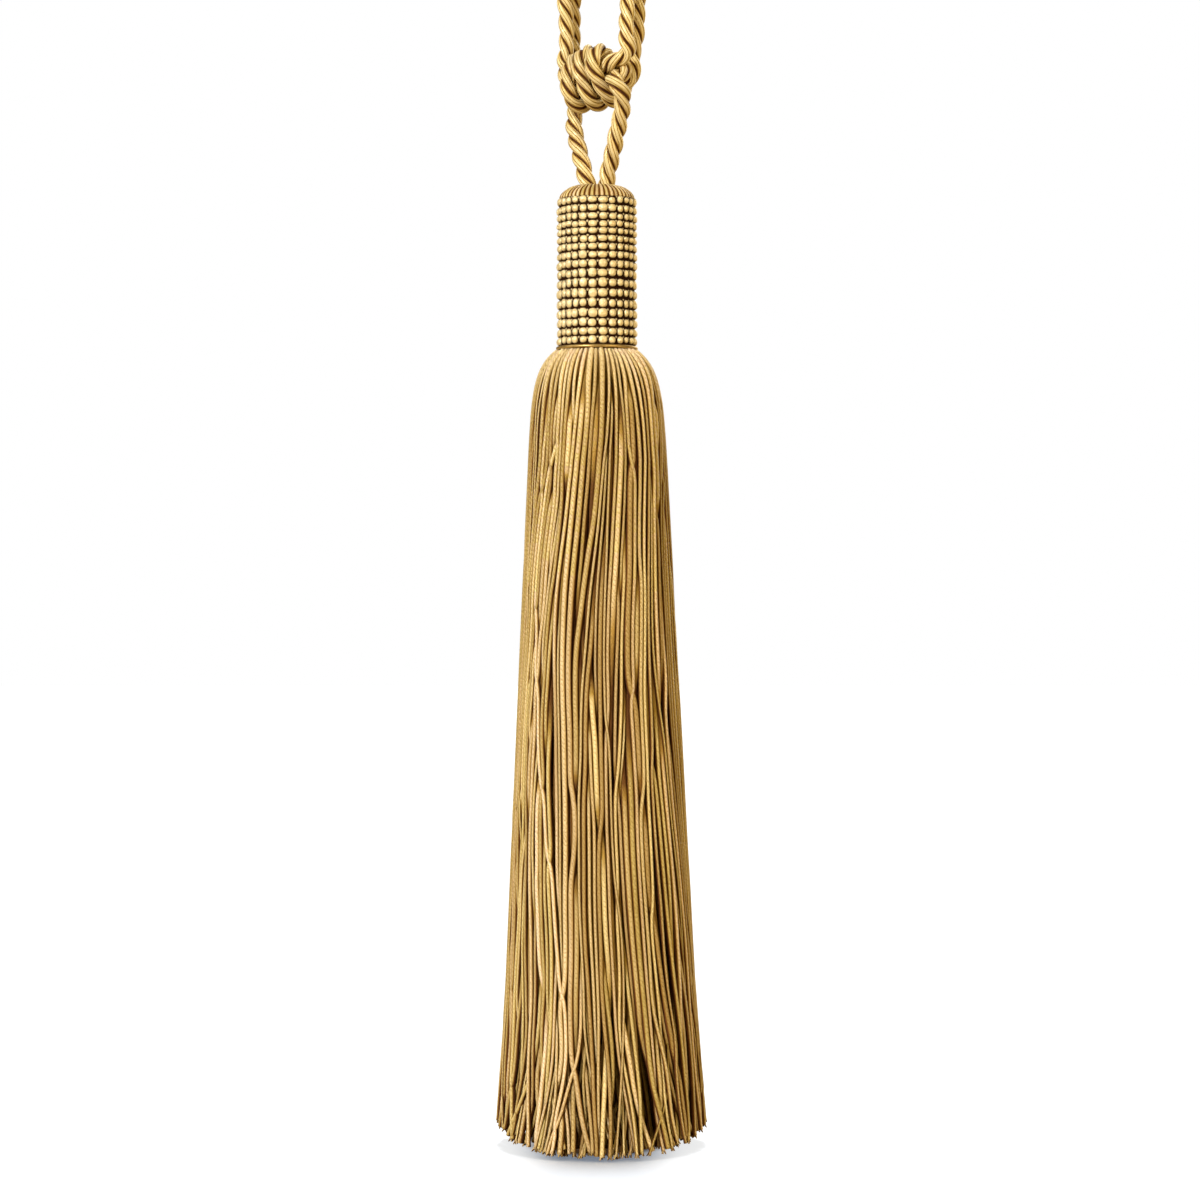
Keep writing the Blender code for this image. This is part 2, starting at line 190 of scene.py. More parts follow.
spunYarn = {
    # how coarsely the fine yarns stray, how round they look, and how wide the crease beside each is
    "strayScale": 1.6, "round": 0.7, "crease": 0.55,
}
platedSpeck = {
    # how ragged the flecks are, where dull turns to bright, and how rough the dull and the bright are
    "ragged": 0.6, "turns": (0.15, 0.85), "rough": (0.44, 0.28),
}
strandHues = {
    # these multiply the silk's colour, and the tone times the scatter picks between rose and olive
    "scatter": 41.0, "rose": (1.0, 0.965, 1.15, 1.0), "olive": (0.98, 1.01, 0.86, 1.0),
    # face and flank tint a strand's face and, as painted shade, its flanks
    "face": (1.0, 1.0, 1.0, 1.0), "flankShadeTint": (0.82, 0.65, 0.22, 1.0),
}


def spunLinesGroup():
    # fine yarns lying side by side round a strand, leaning as they run along it
    takes = (("Run Round", "Vector", None), ("Yarns", "Float", 10.0), ("Lean", "Float", 100.0),
             ("Ragged", "Float", 0.3), ("Ragged Scale", "Float", 300.0))
    gives = (("Height", "Float"), ("Crease", "Float"))
    tree, given, out = newGroup("spunLines", "ShaderNodeTree", takes, gives)
    run, around, _ = separate(tree, given["Run Round"])
    turn = sums(tree, "MULTIPLY", around, fullTurn)
    place = combine(tree, sums(tree, "COSINE", turn), sums(tree, "SINE", turn),
                    sums(tree, "MULTIPLY", run, given["Ragged Scale"]))
    stray = sums(tree, "SUBTRACT", cloud(tree, place, spunYarn["strayScale"]), 0.5)
    stray = sums(tree, "MULTIPLY", stray, given["Ragged"])
    phase = sums(tree, "MULTIPLY", around, given["Yarns"])
    phase = sums(tree, "ADD", phase, sums(tree, "MULTIPLY", run, given["Lean"]))
    phase = sums(tree, "ADD", phase, sums(tree, "MULTIPLY", stray, given["Yarns"]))
    wave = sums(tree, "ABSOLUTE", sums(tree, "SINE", sums(tree, "MULTIPLY", phase, math.pi)))
    feed(tree, out["Height"], sums(tree, "POWER", wave, spunYarn["round"]))
    feed(tree, out["Crease"], remap(tree, wave, 0.0, spunYarn["crease"], 1.0, 0.0, True))
    return tree


def silkToneGroup():
    # one strand is paler than the next, and painted shade darkens it towards the Deep colour where light
    # can't reach
    takes = (("Pale", "Color", None), ("Body", "Color", None), ("Deep", "Color", None),
             ("Tone", "Float", 0.5), ("Place", "Vector", None), ("Drift Scale", "Float", 60.0),
             ("Drift", "Float", 0.3), ("Warm", "Float", 0.0), ("Shade", "Float", 0.0))
    gives = (("Colour", "Color"), ("Tone", "Float"))
    tree, given, out = newGroup("silkTone", "ShaderNodeTree", takes, gives)
    drift = sums(tree, "SUBTRACT", cloud(tree, given["Place"], given["Drift Scale"]), 0.5)
    tone = sums(tree, "ADD", given["Tone"], sums(tree, "MULTIPLY", drift, given["Drift"]))
    tone = remap(tree, tone, 0.0, 1.0)
    # some strands lean to rose and some to olive
    odd = sums(tree, "FRACT", sums(tree, "MULTIPLY", given["Tone"], strandHues["scatter"]))
    hue = blendColour(tree, odd, strandHues["rose"], strandHues["olive"])
    lit = blendColour(tree, 1.0, blendColour(tree, tone, given["Body"], given["Pale"]), hue, "MULTIPLY")
    # painted shade: the flanks of a strand are tinted a richer, darker gold than its face
    shadedFlank = blendColour(tree, given["Warm"], strandHues["face"], strandHues["flankShadeTint"])
    lit = blendColour(tree, 1.0, lit, shadedFlank, "MULTIPLY")
    feed(tree, out["Colour"], blendColour(tree, given["Shade"], lit, given["Deep"]))
    feed(tree, out["Tone"], tone)
    return tree


def goldSpeckGroup():
    # small mottling of plated metal thread
    takes = (("Place", "Vector", None), ("Scale", "Float", 900.0), ("Bright", "Color", None),
             ("Dull", "Color", None), ("Bias", "Float", 0.5))
    gives = (("Colour", "Color"), ("Roughness", "Float"), ("Height", "Float"))
    tree, given, out = newGroup("goldSpeck", "ShaderNodeTree", takes, gives)
    fleck = cloud(tree, given["Place"], given["Scale"], platedSpeck["ragged"])
    patch = sums(tree, "ADD", sums(tree, "SUBTRACT", fleck, 0.5), given["Bias"])
    patch = remap(tree, patch, *platedSpeck["turns"])
    feed(tree, out["Colour"], blendColour(tree, patch, given["Dull"], given["Bright"]))
    feed(tree, out["Roughness"], remap(tree, patch, 0.0, 1.0, *platedSpeck["rough"]))
    feed(tree, out["Height"], fleck)
    return tree


shared = {"lines": spunLinesGroup(), "tone": silkToneGroup(), "speck": goldSpeckGroup()}


def newMaterial(name, settings):
    made = bpy.data.materials.new(name)
    made.use_nodes = True
    shader = made.node_tree.nodes["Principled BSDF"]
    for socket, value in settings.items():
        shader.inputs[socket].default_value = value
    return made, made.node_tree, shader


def useGroup(tree, key, **values):
    node = addNode(tree, "ShaderNodeGroup", node_tree=shared[key])
    for label, value in values.items():
        feed(tree, node.inputs[label.replace("_", " ")], value)
    return node.outputs


def raised(tree, shader, height, depth):
    takes = {"Strength": 1.0, "Distance": depth * mm, "Height": height}
    feed(tree, shader.inputs["Normal"], step(tree, "ShaderNodeBump", "Normal", takes))


def fromMiddle(tree, x, y):
    return vectorSums(tree, "LENGTH", combine(tree, x, y, 0.0))


silkColours = {
    "Pale": (0.96, 0.775, 0.455, 1.0),
    "Body": (0.46, 0.320, 0.098, 1.0),
    # Deep is the colour of the painted shade
    "Deep": (0.085, 0.013, 0.0003, 1.0),
}
silkTint = (1.0, 0.86, 0.58, 1.0)


def dyeSilk(tree, shader, lines, shade, flankShade, look):
    # one tone a strand, rougher where it is dark, with the relief of its fine lines
    tone = useGroup(tree, "tone", Tone=attribute(tree, "tone"), Place=objectPlace(tree), Warm=flankShade,
                    Drift_Scale=look["driftScale"], Drift=look["drift"], Shade=shade, **silkColours)
    feed(tree, shader.inputs["Base Color"], tone["Colour"])
    rough = remap(tree, tone["Tone"], 0.0, 1.0, look["rough"], look["roughPale"])
    feed(tree, shader.inputs["Roughness"], sums(tree, "MULTIPLY_ADD", shade, 0.5, rough))
    raised(tree, shader, lines["Height"], look["depth"])


def silkMaterial(name, look):
    # a strand of spun silk: fine leaning yarns, with painted shade on its flanks where strands meet and in
    # the creases between its yarns
    made, tree, shader = newMaterial(name, {"Specular IOR Level": look["shine"], "Specular Tint": silkTint})
    uv = step(tree, "ShaderNodeUVMap", "UV", {}, uv_map="UVMap")
    lines = useGroup(tree, "lines", Run_Round=uv, Yarns=look["yarns"], Lean=look["lean"],
                     Ragged=look["ragged"], Ragged_Scale=look["raggedScale"])
    groove = attribute(tree, "groove")
    dark = remap(tree, groove, look["grooveFrom"], look["grooveTo"], 0.0, look["grooveShade"], True)
    shade = sums(tree, "MAXIMUM", dark, attribute(tree, "shade"))
    shade = sums(tree, "MAXIMUM", shade, sums(tree, "MULTIPLY", lines["Crease"], look["creaseShade"]))
    # the flanks, and wherever shade is painted, take the darker gold of the painted shade
    flankShade = sums(tree, "MAXIMUM", remap(tree, groove, look["flankShadeFrom"], look["flankShadeTo"]),
                remap(tree, shade, 0.0, 0.4))
    dyeSilk(tree, shader, lines, shade, flankShade, look)
    return made


def endTree(tree, out, shape, finish):
    shape = step(tree, "GeometryNodeRealizeInstances", "Geometry", {"Geometry": shape})
    shape = step(tree, "GeometryNodeSetMaterial", "Geometry", {"Geometry": shape, "Material": finish})
    feed(tree, out[0], shape)
    return tree


def sweepTree():
    # yarn swept along lines, with its UV map and how far each point turns into a groove
    takes = (("Lines", "Geometry", None), ("Width", "Float", 0.001), ("Sides", "Int", 8),
             ("Weld", "Float", 0.000004), ("Finish", "Material", None))
    tree, given, out = newGroup("sweepYarn", "GeometryNodeTree", takes, (("Yarn", "Geometry"),))

    def store(shape, label, value, kind="FLOAT", domain="POINT"):
        filled = {"Geometry": shape, "Name": label, "Value": value}
        return step(tree, "GeometryNodeStoreNamedAttribute", "Geometry", filled, data_type=kind,
                    domain=domain)

    line = step(tree, "GeometryNodeMeshToCurve", "Curve", {"Mesh": given["Lines"]})
    # the round is an open arc, so that its two ends carry the two edges of the UV map
    points = sums(tree, "ADD", given["Sides"], 1.0)
    radius = sums(tree, "MULTIPLY", given["Width"], 0.5)
    arc = step(tree, "GeometryNodeCurveArc", "Curve", {
        "Resolution": points, "Radius": radius, "Sweep Angle": fullTurn}, mode="RADIUS")
    arc = store(arc, "around", step(tree, "GeometryNodeSplineParameter", "Factor", {}))
    shape = step(tree, "GeometryNodeCurveToMesh", "Mesh", {
        "Curve": line, "Profile Curve": arc, "Scale": named(tree, "size")})
    uv = combine(tree, named(tree, "run"), named(tree, "around"), 0.0)
    shape = store(shape, "UVMap", uv, "FLOAT2", "CORNER")
    # the groove is 0 where the yarn faces straight out from its core line and 1 on its flanks; the materials
    # paint shade from it
    middle = named(tree, "line", "FLOAT_VECTOR")
    away = vectorSums(tree, "SUBTRACT", middle, named(tree, "core", "FLOAT_VECTOR"))
    skin = vectorSums(tree, "SUBTRACT", pointPlace(tree), middle)
    # a tip, with no width left, counts as facing out, so no shade is painted on it
    skin = vectorSums(tree, "ADD", skin, vectorSums(tree, "SCALE", away, 0.0003))
    away = vectorSums(tree, "NORMALIZE", away)
    facing = vectorSums(tree, "DOT_PRODUCT", away, vectorSums(tree, "NORMALIZE", skin))
    turnedIn = sums(tree, "SUBTRACT", 1.0, facing)
    shape = store(shape, "groove", sums(tree, "MULTIPLY", turnedIn, named(tree, "open")))
    weld = {"Geometry": shape, "Distance": given["Weld"]}
    shape = step(tree, "GeometryNodeMergeByDistance", "Geometry", weld)
    shape = step(tree, "GeometryNodeSetShadeSmooth", "Geometry", {"Geometry": shape})
    return endTree(tree, out, shape, given["Finish"])


def seatTree():
    # a bead on each point, its width across the head and its depth outward
    takes = (("Seats", "Geometry", None), ("Wide", "Float", 0.003), ("High", "Float", 0.9),
             ("Deep", "Float", 0.003), ("Segments", "Int", 12), ("Rings", "Int", 7), ("Square", "Float", 2.5),
             ("Uneven", "Float", 0.04), ("Seed", "Int", 1), ("Finish", "Material", None))
    tree, given, out = newGroup("seatBeads", "GeometryNodeTree", takes, (("Beads", "Geometry"),))
    seats = step(tree, "GeometryNodeMeshToPoints", "Points", {"Mesh": given["Seats"]})
    bead = step(tree, "GeometryNodeMeshUVSphere", "Mesh", {
        "Segments": given["Segments"], "Rings": given["Rings"], "Radius": 0.5})
    # the sphere is pressed a little towards a square, by a power over 2 in its measure of distance
    spot = pointPlace(tree)
    total = None
    for part in separate(tree, vectorSums(tree, "SCALE", vectorSums(tree, "ABSOLUTE", spot), 2.0)):
        power = sums(tree, "POWER", part, given["Square"])
        total = power if total is None else sums(tree, "ADD", total, power)
    press = sums(tree, "POWER", total, sums(tree, "DIVIDE", -1.0, given["Square"]))
    bead = step(tree, "GeometryNodeSetPosition", "Geometry", {
        "Geometry": bead, "Position": vectorSums(tree, "SCALE", spot, press)})
    bead = step(tree, "GeometryNodeSetShadeSmooth", "Geometry", {"Geometry": bead})
    x, y, _ = separate(tree, pointPlace(tree))
    turn = step(tree, "FunctionNodeAlignRotationToVector", "Rotation", {"Vector": combine(tree, x, y, 0.0)},
                axis="X", pivot_axis="Z")
    low = sums(tree, "SUBTRACT", 1.0, given["Uneven"])
    high = sums(tree, "ADD", 1.0, given["Uneven"])
    uneven = step(tree, "FunctionNodeRandomValue", 0, {
        "Min": combine(tree, low, low, low), "Max": combine(tree, high, high, high), "Seed": given["Seed"]},
        data_type="FLOAT_VECTOR")
    size = vectorSums(tree, "MULTIPLY", combine(tree, given["Deep"], given["Wide"], given["High"]), uneven)
    size = vectorSums(tree, "MULTIPLY", size, named(tree, "room", "FLOAT_VECTOR"))
    beads = step(tree, "GeometryNodeInstanceOnPoints", "Instances", {
        "Points": seats, "Instance": bead, "Rotation": turn, "Scale": size})
    return endTree(tree, out, beads, given["Finish"])


trees = {"sweep": sweepTree(), "seat": seatTree()}


def bakeTree(name, mesh, tree, settings):
    # the tree's result becomes the piece's own plain mesh
    piece = putInScene(name, mesh)
    maker = piece.modifiers.new("maker", "NODES")
    maker.node_group = tree
    for item in tree.interface.items_tree:
        if item.item_type == "SOCKET" and item.in_out == "INPUT" and item.name in settings:
            maker[item.identifier] = settings[item.name]
    graph = bpy.context.evaluated_depsgraph_get()
    shaped = piece.evaluated_get(graph)
    made = bpy.data.meshes.new_from_object(shaped, preserve_all_data_layers=True, depsgraph=graph)
    piece.modifiers.remove(maker)
    piece.data = made
    made.name = name
    faceOut(made)
    return piece


def faceOut(mesh):
    # turns the faces round if the shape's volume comes out negative
    points = np.empty(len(mesh.vertices) * 3)
    mesh.vertices.foreach_get("co", points)
    points = points.reshape(-1, 3)
    mesh.calc_loop_triangles()
    corners = np.empty(len(mesh.loop_triangles) * 3, dtype=np.int32)
    mesh.loop_triangles.foreach_get("vertices", corners)
    a, b, c = (points[corners.reshape(-1, 3)[:, k]] for k in range(3))
    if np.einsum("ij,ij->i", a, np.cross(b, c)).sum() < 0:
        mesh.flip_normals()


def addRow(columns, **values):
    # one more line's values in each column
    for label, given in values.items():
        columns.setdefault(label, []).append(given)


def keepValues(mesh, label, values):
    # one number or one vector for each point
    flat = np.asarray(values, np.float32)
    kind, field = ("FLOAT_VECTOR", "vector") if flat.ndim == 2 else ("FLOAT", "value")
    mesh.attributes.new(label, kind, "POINT").data.foreach_set(field, flat.ravel())


def lineMesh(name, lines, closed, columns):
    # lines of points in millimetres, with a value at each point for each column
    mesh = bpy.data.meshes.new(name)
    edges = []
    start = 0
    for line, join in zip(lines, closed):
        last = start + len(line) - 1
        edges += [(k, k + 1) for k in range(start, last)]
        if join is not None:
            edges.append((last, join))
        start = last + 1
    mesh.from_pydata((np.vstack(lines) * mm).tolist(), edges, [])
    for label, values in dict(columns, line=[line * mm for line in lines]).items():
        keepValues(mesh, label, np.concatenate(values))
    return mesh


def meshPiece(name, points, faces, finish):
    mesh = bpy.data.meshes.new(name)
    mesh.from_pydata((np.asarray(points, float) * mm).tolist(), [], faces)
    mesh.shade_smooth()
    mesh.materials.append(finish)
    faceOut(mesh)
    return putInScene(name, mesh)


# the three cords and their knot

cord = {
    "width": 5.8, "knotWidth": 5.35, "lay": 19.0, "clear": 0.37, "spacing": 1.2,
    # fine steps before a route is evened out, and how near its two ends are when it closes on itself
    "fine": 0.15, "joined": 1.5,
    "knotMid": (-1.4, 0.5, -36.67), "knotYaw": 30.0, "knotClimb": 8.0,
    "wrapPitch": 6.25, "wrapStart": -540, "wrapStop": 576, "wrapCount": 56, "wrapWave": 1.2,
    "wrapSize": 1.03, "wrapTaper": 0.008, "wrapOval": 0.5, "ovalEase": 0.12,
    "coreTurn": 45.0, "coreReach": 1.9,
    "plyWidth": 0.485, "plyReach": 0.525, "sides": 16, "step": 0.5, "intoHead": (3.0, 1.5),
    "plyTone": 0.0244, "toneSpread": 0.005,
    # how much each ply's width swells, the length of one radian of it, and how far one ply lags the last
    "swell": ((0.02, 3.7, 2.1), (0.015, 1.9, 1.0)),
    # distance from the knot's middle at which each width begins, and over what length it is reached
    "fullFrom": (11.0, 9.0), "girthFrom": (9.0, 8.0),
}
settling = {
    "rounds": 320, "late": 60, "lateTie": 0.1, "sortEvery": 10, "near": 9.0, "ownReach": 12.0, "spare": 0.1,
    "push": 0.4, "furthest": 0.5, "smooth": (0.5, -0.45), "tightest": 3.9, "stretch": 0.25,
}
holding = {
    # how firmly the tassel's cord stays in its legs, below this height under the knot, and in its wraps
    "legsBelow": -14.0, "legs": 0.1, "wraps": 0.008,
    # how firmly the loops stay from each height above the knot, inside it, and where they turn at its ends
    "arch": (22.0, 0.12), "rise": (10.0, 0.04), "inside": 0.006, "turnsPast": (-9.0, 11.5), "turns": 0.08,
}
# each cord is drawn in at the knot's right-hand end: the place, how far the pull reaches, and the move
drawnTight = (((9.4, -4.6, -34.0), 4.0, (-0.5, 0.0, -0.4)), ((7.6, -10.8, -30.2), 4.2, (2.4, 0.2, 0.0)),
              ((14.0, -1.2, -34.0), 6.5, (-1.6, 0.0, 0.4)))
cordSilk = {
    "shine": 0.7, "rough": 0.34, "roughPale": 0.24, "yarns": 7.0, "lean": 60.0, "ragged": 0.10,
    "raggedScale": 160.0, "grooveFrom": 0.56, "grooveTo": 1.02, "grooveShade": 0.98, "creaseShade": 0.58,
    "flankShadeFrom": 0.20, "flankShadeTo": 1.05, "driftScale": 160.0, "drift": 0.6, "depth": 0.24,
}

yaw, climb = math.radians(cord["knotYaw"]), math.radians(cord["knotClimb"])
knotMid = np.array(cord["knotMid"])
knotAlong = np.array([math.cos(yaw) * math.cos(climb), -math.sin(yaw) * math.cos(climb), math.sin(climb)])
knotFront = np.array([-math.sin(yaw), -math.cos(yaw), 0.0])
knotUp = np.cross(knotFront, knotAlong)


def inKnot(s, f, u):
    # along the knot, to its front and up
    return knotMid + s * knotAlong + f * knotFront + u * knotUp


def coreAngle(s):
    share = s / (cord["coreReach"] * cord["wrapPitch"])
    return math.radians(90.0 - cord["coreTurn"] * max(-1.0, min(1.0, share)))


def corePoint(s, side):
    reach = side * (cord["knotWidth"] + cord["clear"]) / 2
    return inKnot(s, reach * math.cos(coreAngle(s)), reach * math.sin(coreAngle(s)))


def wrapPoint(turn):
    # one cord wound close round the two core cords
    angle = math.radians(-turn)
    s = cord["wrapPitch"] * turn / 360.0 + cord["wrapWave"] * math.sin(angle)
    core = coreAngle(s)
    c, d = math.cos(angle - core), math.sin(angle - core)
    size = (cord["knotWidth"] + cord["clear"]) * (cord["wrapSize"] - cord["wrapTaper"] * s)
    x = size * (c + cord["wrapOval"] * c / math.sqrt(c * c + cord["ovalEase"]))
    y = size * d
    return inKnot(s, x * math.cos(core) - y * math.sin(core), x * math.sin(core) + y * math.cos(core))


def curveThrough(points, spacing):
    # a smooth curve through the points, cut into even steps
    p = np.array(points, float)
    p = np.vstack([2 * p[0] - p[1], p, 2 * p[-1] - p[-2]])
    t = np.r_[0, np.cumsum(np.maximum(np.linalg.norm(np.diff(p, axis=0), axis=1), 1e-6) ** 0.5)]
    pieces = []
    for i in range(1, len(p) - 2):
        count = max(2, int(np.linalg.norm(p[i + 1] - p[i]) / cord["fine"]))
        at = np.linspace(t[i], t[i + 1], count, endpoint=False)[:, None]

        def blend(a, b, ta, tb):
            return ((tb - at) * a + (at - ta) * b) / (tb - ta)

        a1 = blend(p[i - 1], p[i], t[i - 1], t[i])
        a2 = blend(p[i], p[i + 1], t[i], t[i + 1])
        a3 = blend(p[i + 1], p[i + 2], t[i + 1], t[i + 2])
        b1 = blend(a1, a2, t[i - 1], t[i + 1])
        b2 = blend(a2, a3, t[i], t[i + 2])
        pieces.append(blend(b1, b2, t[i], t[i + 1]))
    fine = np.vstack(pieces + [p[-2][None]])
    run = np.r_[0, np.cumsum(np.linalg.norm(np.diff(fine, axis=0), axis=1))]
    even = np.linspace(0, run[-1], int(round(run[-1] / spacing)) + 1)
    return np.stack([np.interp(even, run, fine[:, k]) for k in range(3)], 1)


def cordWidth(points):
    # pressed thinner in the knot
    far = eased(ramp(np.linalg.norm(points - knotMid, axis=-1), *cord["fullFrom"]))
    return cord["knotWidth"] + (cord["width"] - cord["knotWidth"]) * far


def soften(points, closed, amount):
    if closed:
        ring = points[:-1]
        ring = ring + amount * ((np.roll(ring, 1, 0) + np.roll(ring, -1, 0)) / 2 - ring)
        return np.vstack([ring, ring[:1]])
    out = points.copy()
    out[1:-1] += amount * ((points[:-2] + points[2:]) / 2 - points[1:-1])
    return out


def easeBends(points, closed, tightest):
    # a cord can't bend tighter than its own half width
    ahead = np.roll(points[:-1], -1, 0) if closed else points[2:]
    here = points[:-1] if closed else points[1:-1]
    behind = np.roll(points[:-1], 1, 0) if closed else points[:-2]
    pull = (ahead + behind) / 2 - here
    bend = 2 * np.linalg.norm(pull, axis=1) / cord["spacing"] ** 2
    extra = np.clip((bend * tightest - 1.0), 0, 1)[:, None] * 0.5 * pull
    out = points.copy()
    if closed:
        out[:-1] += extra
        out[-1] = out[0]
    else:
        out[1:-1] += extra
    return out


def settleCords(cords, holds):
    # neighbours push apart until the cords lie side by side
    spacing = cord["spacing"]
    counts = [len(c) for c in cords]
    edge = np.r_[0, np.cumsum(counts)]
    at = np.vstack(cords)
    home = at.copy()
    hold = np.concatenate(holds)
    free = 1 - np.minimum(hold, 1)
    owner = np.repeat(np.arange(len(cords)), counts)
    place = np.concatenate([np.arange(k) for k in counts])
    closed = [np.linalg.norm(c[0] - c[-1]) < cord["joined"] for c in cords]
    along = np.abs(place[:, None] - place[None]).astype(float)
    for k, ring in enumerate(closed):
        if ring:
            mine = np.ix_(owner == k, owner == k)
            along[mine] = np.minimum(along[mine], counts[k] - 1 - along[mine])
    own = (owner[:, None] == owner[None]) & (along * spacing < settling["ownReach"])
    first, second = np.nonzero(np.triu(~own))
    for turn in range(settling["rounds"]):
        if turn % settling["sortEvery"] == 0:
            close = np.linalg.norm(at[first] - at[second], axis=1) < settling["near"]
            i, j = first[close], second[close]
        late = turn > settling["rounds"] - settling["late"]
        width = cordWidth(at)
        room = (width[i] + width[j]) / 2 + cord["clear"] + settling["spare"]
        apart = at[i] - at[j]
        length = np.linalg.norm(apart, axis=1)
        push = np.clip(room - length, 0, None) * settling["push"]
        shove = apart / np.maximum(length, 1e-6)[:, None] * push[:, None]
        move = np.zeros_like(at)
        np.add.at(move, i, shove)
        np.add.at(move, j, -shove)
        size = np.linalg.norm(move, axis=1)
        at = at + move * (np.minimum(1, settling["furthest"] / np.maximum(size, 1e-9)) * free)[:, None]
        tie = np.where(hold >= 1, 1.0, hold * (settling["lateTie"] if late else 1.0))
        at = at + tie[:, None] * (home - at)
        for k in range(len(cords)):
            part = slice(edge[k], edge[k + 1])
            c = at[part]
            for amount in settling["smooth"]:
                c = soften(c, closed[k], amount)
            c = easeBends(c, closed[k], settling["tightest"])
            link = np.diff(c, axis=0)
            long = np.linalg.norm(link, axis=1)
            fix = link / long[:, None] * (long - spacing)[:, None] * settling["stretch"]
            c[:-1] += fix
            c[1:] -= fix
            if closed[k]:
                c[0] = c[-1] = (c[0] + c[-1]) / 2
            at[part] = np.where(free[part, None] > 0, c, at[part])
    return [at[edge[k]:edge[k + 1]] for k in range(len(cords))]


def tasselCordStart():
    # up the left leg, round the loop's cords and down the right leg
    leftLeg = [(-3.2, 0, -72.6), (-4.0, 0, -69.9), (-5.4, 1.5, -63.8), (-7.3, 4.5, -56.1), (-8.1, 7.0, -49.7)]
    wraps = [wrapPoint(turn) for turn in np.linspace(cord["wrapStart"], cord["wrapStop"], cord["wrapCount"])]
    tuck = [inKnot(9.3, -2.6, 5.2), inKnot(9.7, -0.2, 1.6), inKnot(10.3, 3.7, -2.6)]
    rightLeg = [(4.9, -13.6, -39.3), (7.7, -14.6, -41.4), (8.9, -12.4, -45.0), (8.4, -10.0, -49.2)]
    rightLeg += [(7.0, -6.5, -55.2), (5.0, -2.8, -63.9), (3.6, -0.3, -69.9), (3.1, 0, -72.6)]
    return curveThrough(leftLeg + wraps + tuck + rightLeg, cord["spacing"])


def overTop(right, left, top):
    # half a turn from the right-hand cord over to the left-hand one
    middle, reach = (right[0] + left[0]) / 2, (right[0] - left[0]) / 2
    span = []
    for share in np.linspace(0, 1, 9):
        angle = math.pi * share
        depth = right[1] + (left[1] - right[1]) * share
        span.append((middle + reach * math.cos(angle), depth, right[2] + (top - right[2]) * math.sin(angle)))
    return span


# each loop leaves the knot, goes over the top and comes back into it
innerLoop = {
    "side": 1,
    "leaves": ((7.5, 3.2, 2.6), (10.6, 4.8, 2.8), (13.2, 5.0, 3.6)),
    "rise": [(9.1, -12.0, -28.4), (9.5, -12.3, -25.2), (9.8, -11.8, -21.7), (10.2, -10.0, -14.0)],
    "right": (10.9, -8.5, -8.0), "left": (-8.3, 12.0, -8.0), "top": 2.9,
    "fall": [(-8.2, 13.6, -15.0), (-8.2, 14.3, -24.3), (-7.5, 12.5, -29.9), (-7.2, 11.0, -33.9)],
    "enters": (-9.3, -4.4, 0.6),
}
outerLoop = {
    "side": -1,
    "leaves": ((7.5, -2.8, -4.6), (9.6, -3.6, -5.8), (11.4, -4.6, -4.8), (12.2, -5.4, -0.8)),
    "rise": [(12.4, -0.6, -31.0), (13.0, -1.4, -27.4), (13.5, -2.0, -23.7), (13.8, -1.7, -14.0)],
    "right": (14.2, -1.5, -5.0), "left": (-10.9, 6.6, -5.0), "top": 9.2,
    "fall": [(-10.5, 7.6, -15.0), (-10.4, 8.0, -24.0), (-10.1, 7.2, -29.5), (-9.8, 6.8, -33.7)],
    "enters": (-9.0, 0.6, -0.8),
}


def loopStart(loop):
    core = [corePoint(s, loop["side"]) for s in (0, 2.5, 5)] + [inKnot(*place) for place in loop["leaves"]]
    arch = loop["rise"] + overTop(loop["right"], loop["left"], loop["top"]) + loop["fall"]
    back = [inKnot(*loop["enters"])] + [corePoint(s, loop["side"]) for s in (-8, -5, -2.5, 0)]
    return curveThrough(core + arch + back, cord["spacing"])


def legHold(c):
    # how firmly each point of the tassel's cord stays: the ends fully, the legs a little
    low = c[:, 2] - knotMid[2]
    hold = np.where(low < holding["legsBelow"], holding["legs"], holding["wraps"])
    hold[:3] = hold[-3:] = 1
    return hold


def loopHold(c):
    # the loops stay most where they are free of the knot, and least inside it
    high = c[:, 2] - knotMid[2]
    along = (c - knotMid) @ knotAlong
    (archFrom, arch), (riseFrom, rise) = holding["arch"], holding["rise"]
    hold = np.where(high > archFrom, arch, np.where(high > riseFrom, rise, holding["inside"]))
    left, right = holding["turnsPast"]
    hold[(high <= archFrom) & ((along < left) | (along > right))] = holding["turns"]
    return hold


def drawnIn(route, place, reach, move):
    # a pull on the part of a cord near one place
    away = np.linalg.norm(route - np.array(place), axis=1)
    return route + np.exp(-(away / reach) ** 2)[:, None] * np.array(move)


def cordRoutes():
    tassel, inner, outer = tasselCordStart(), loopStart(innerLoop), loopStart(outerLoop)
    holds = [legHold(tassel), loopHold(inner), loopHold(outer)]
    routes = settleCords([tassel, inner, outer], holds)
    return [drawnIn(route, *pull) for route, pull in zip(routes, drawnTight)]


def carriedFrames(route, closed):
    # the way ahead at each point, and a side that doesn't twist as it is carried along
    ahead = np.roll(route, -1, 0) - np.roll(route, 1, 0) if closed else np.gradient(route, axis=0)
    ahead /= np.linalg.norm(ahead, axis=1)[:, None]
    side = np.cross(ahead[0], [0.0, 1.0, 0.0])
    side /= np.linalg.norm(side)
    sides = [side]
    for k in range(1, len(route)):
        side = sides[-1] - ahead[k] * (sides[-1] @ ahead[k])
        sides.append(side / np.linalg.norm(side))
    return ahead, np.array(sides)


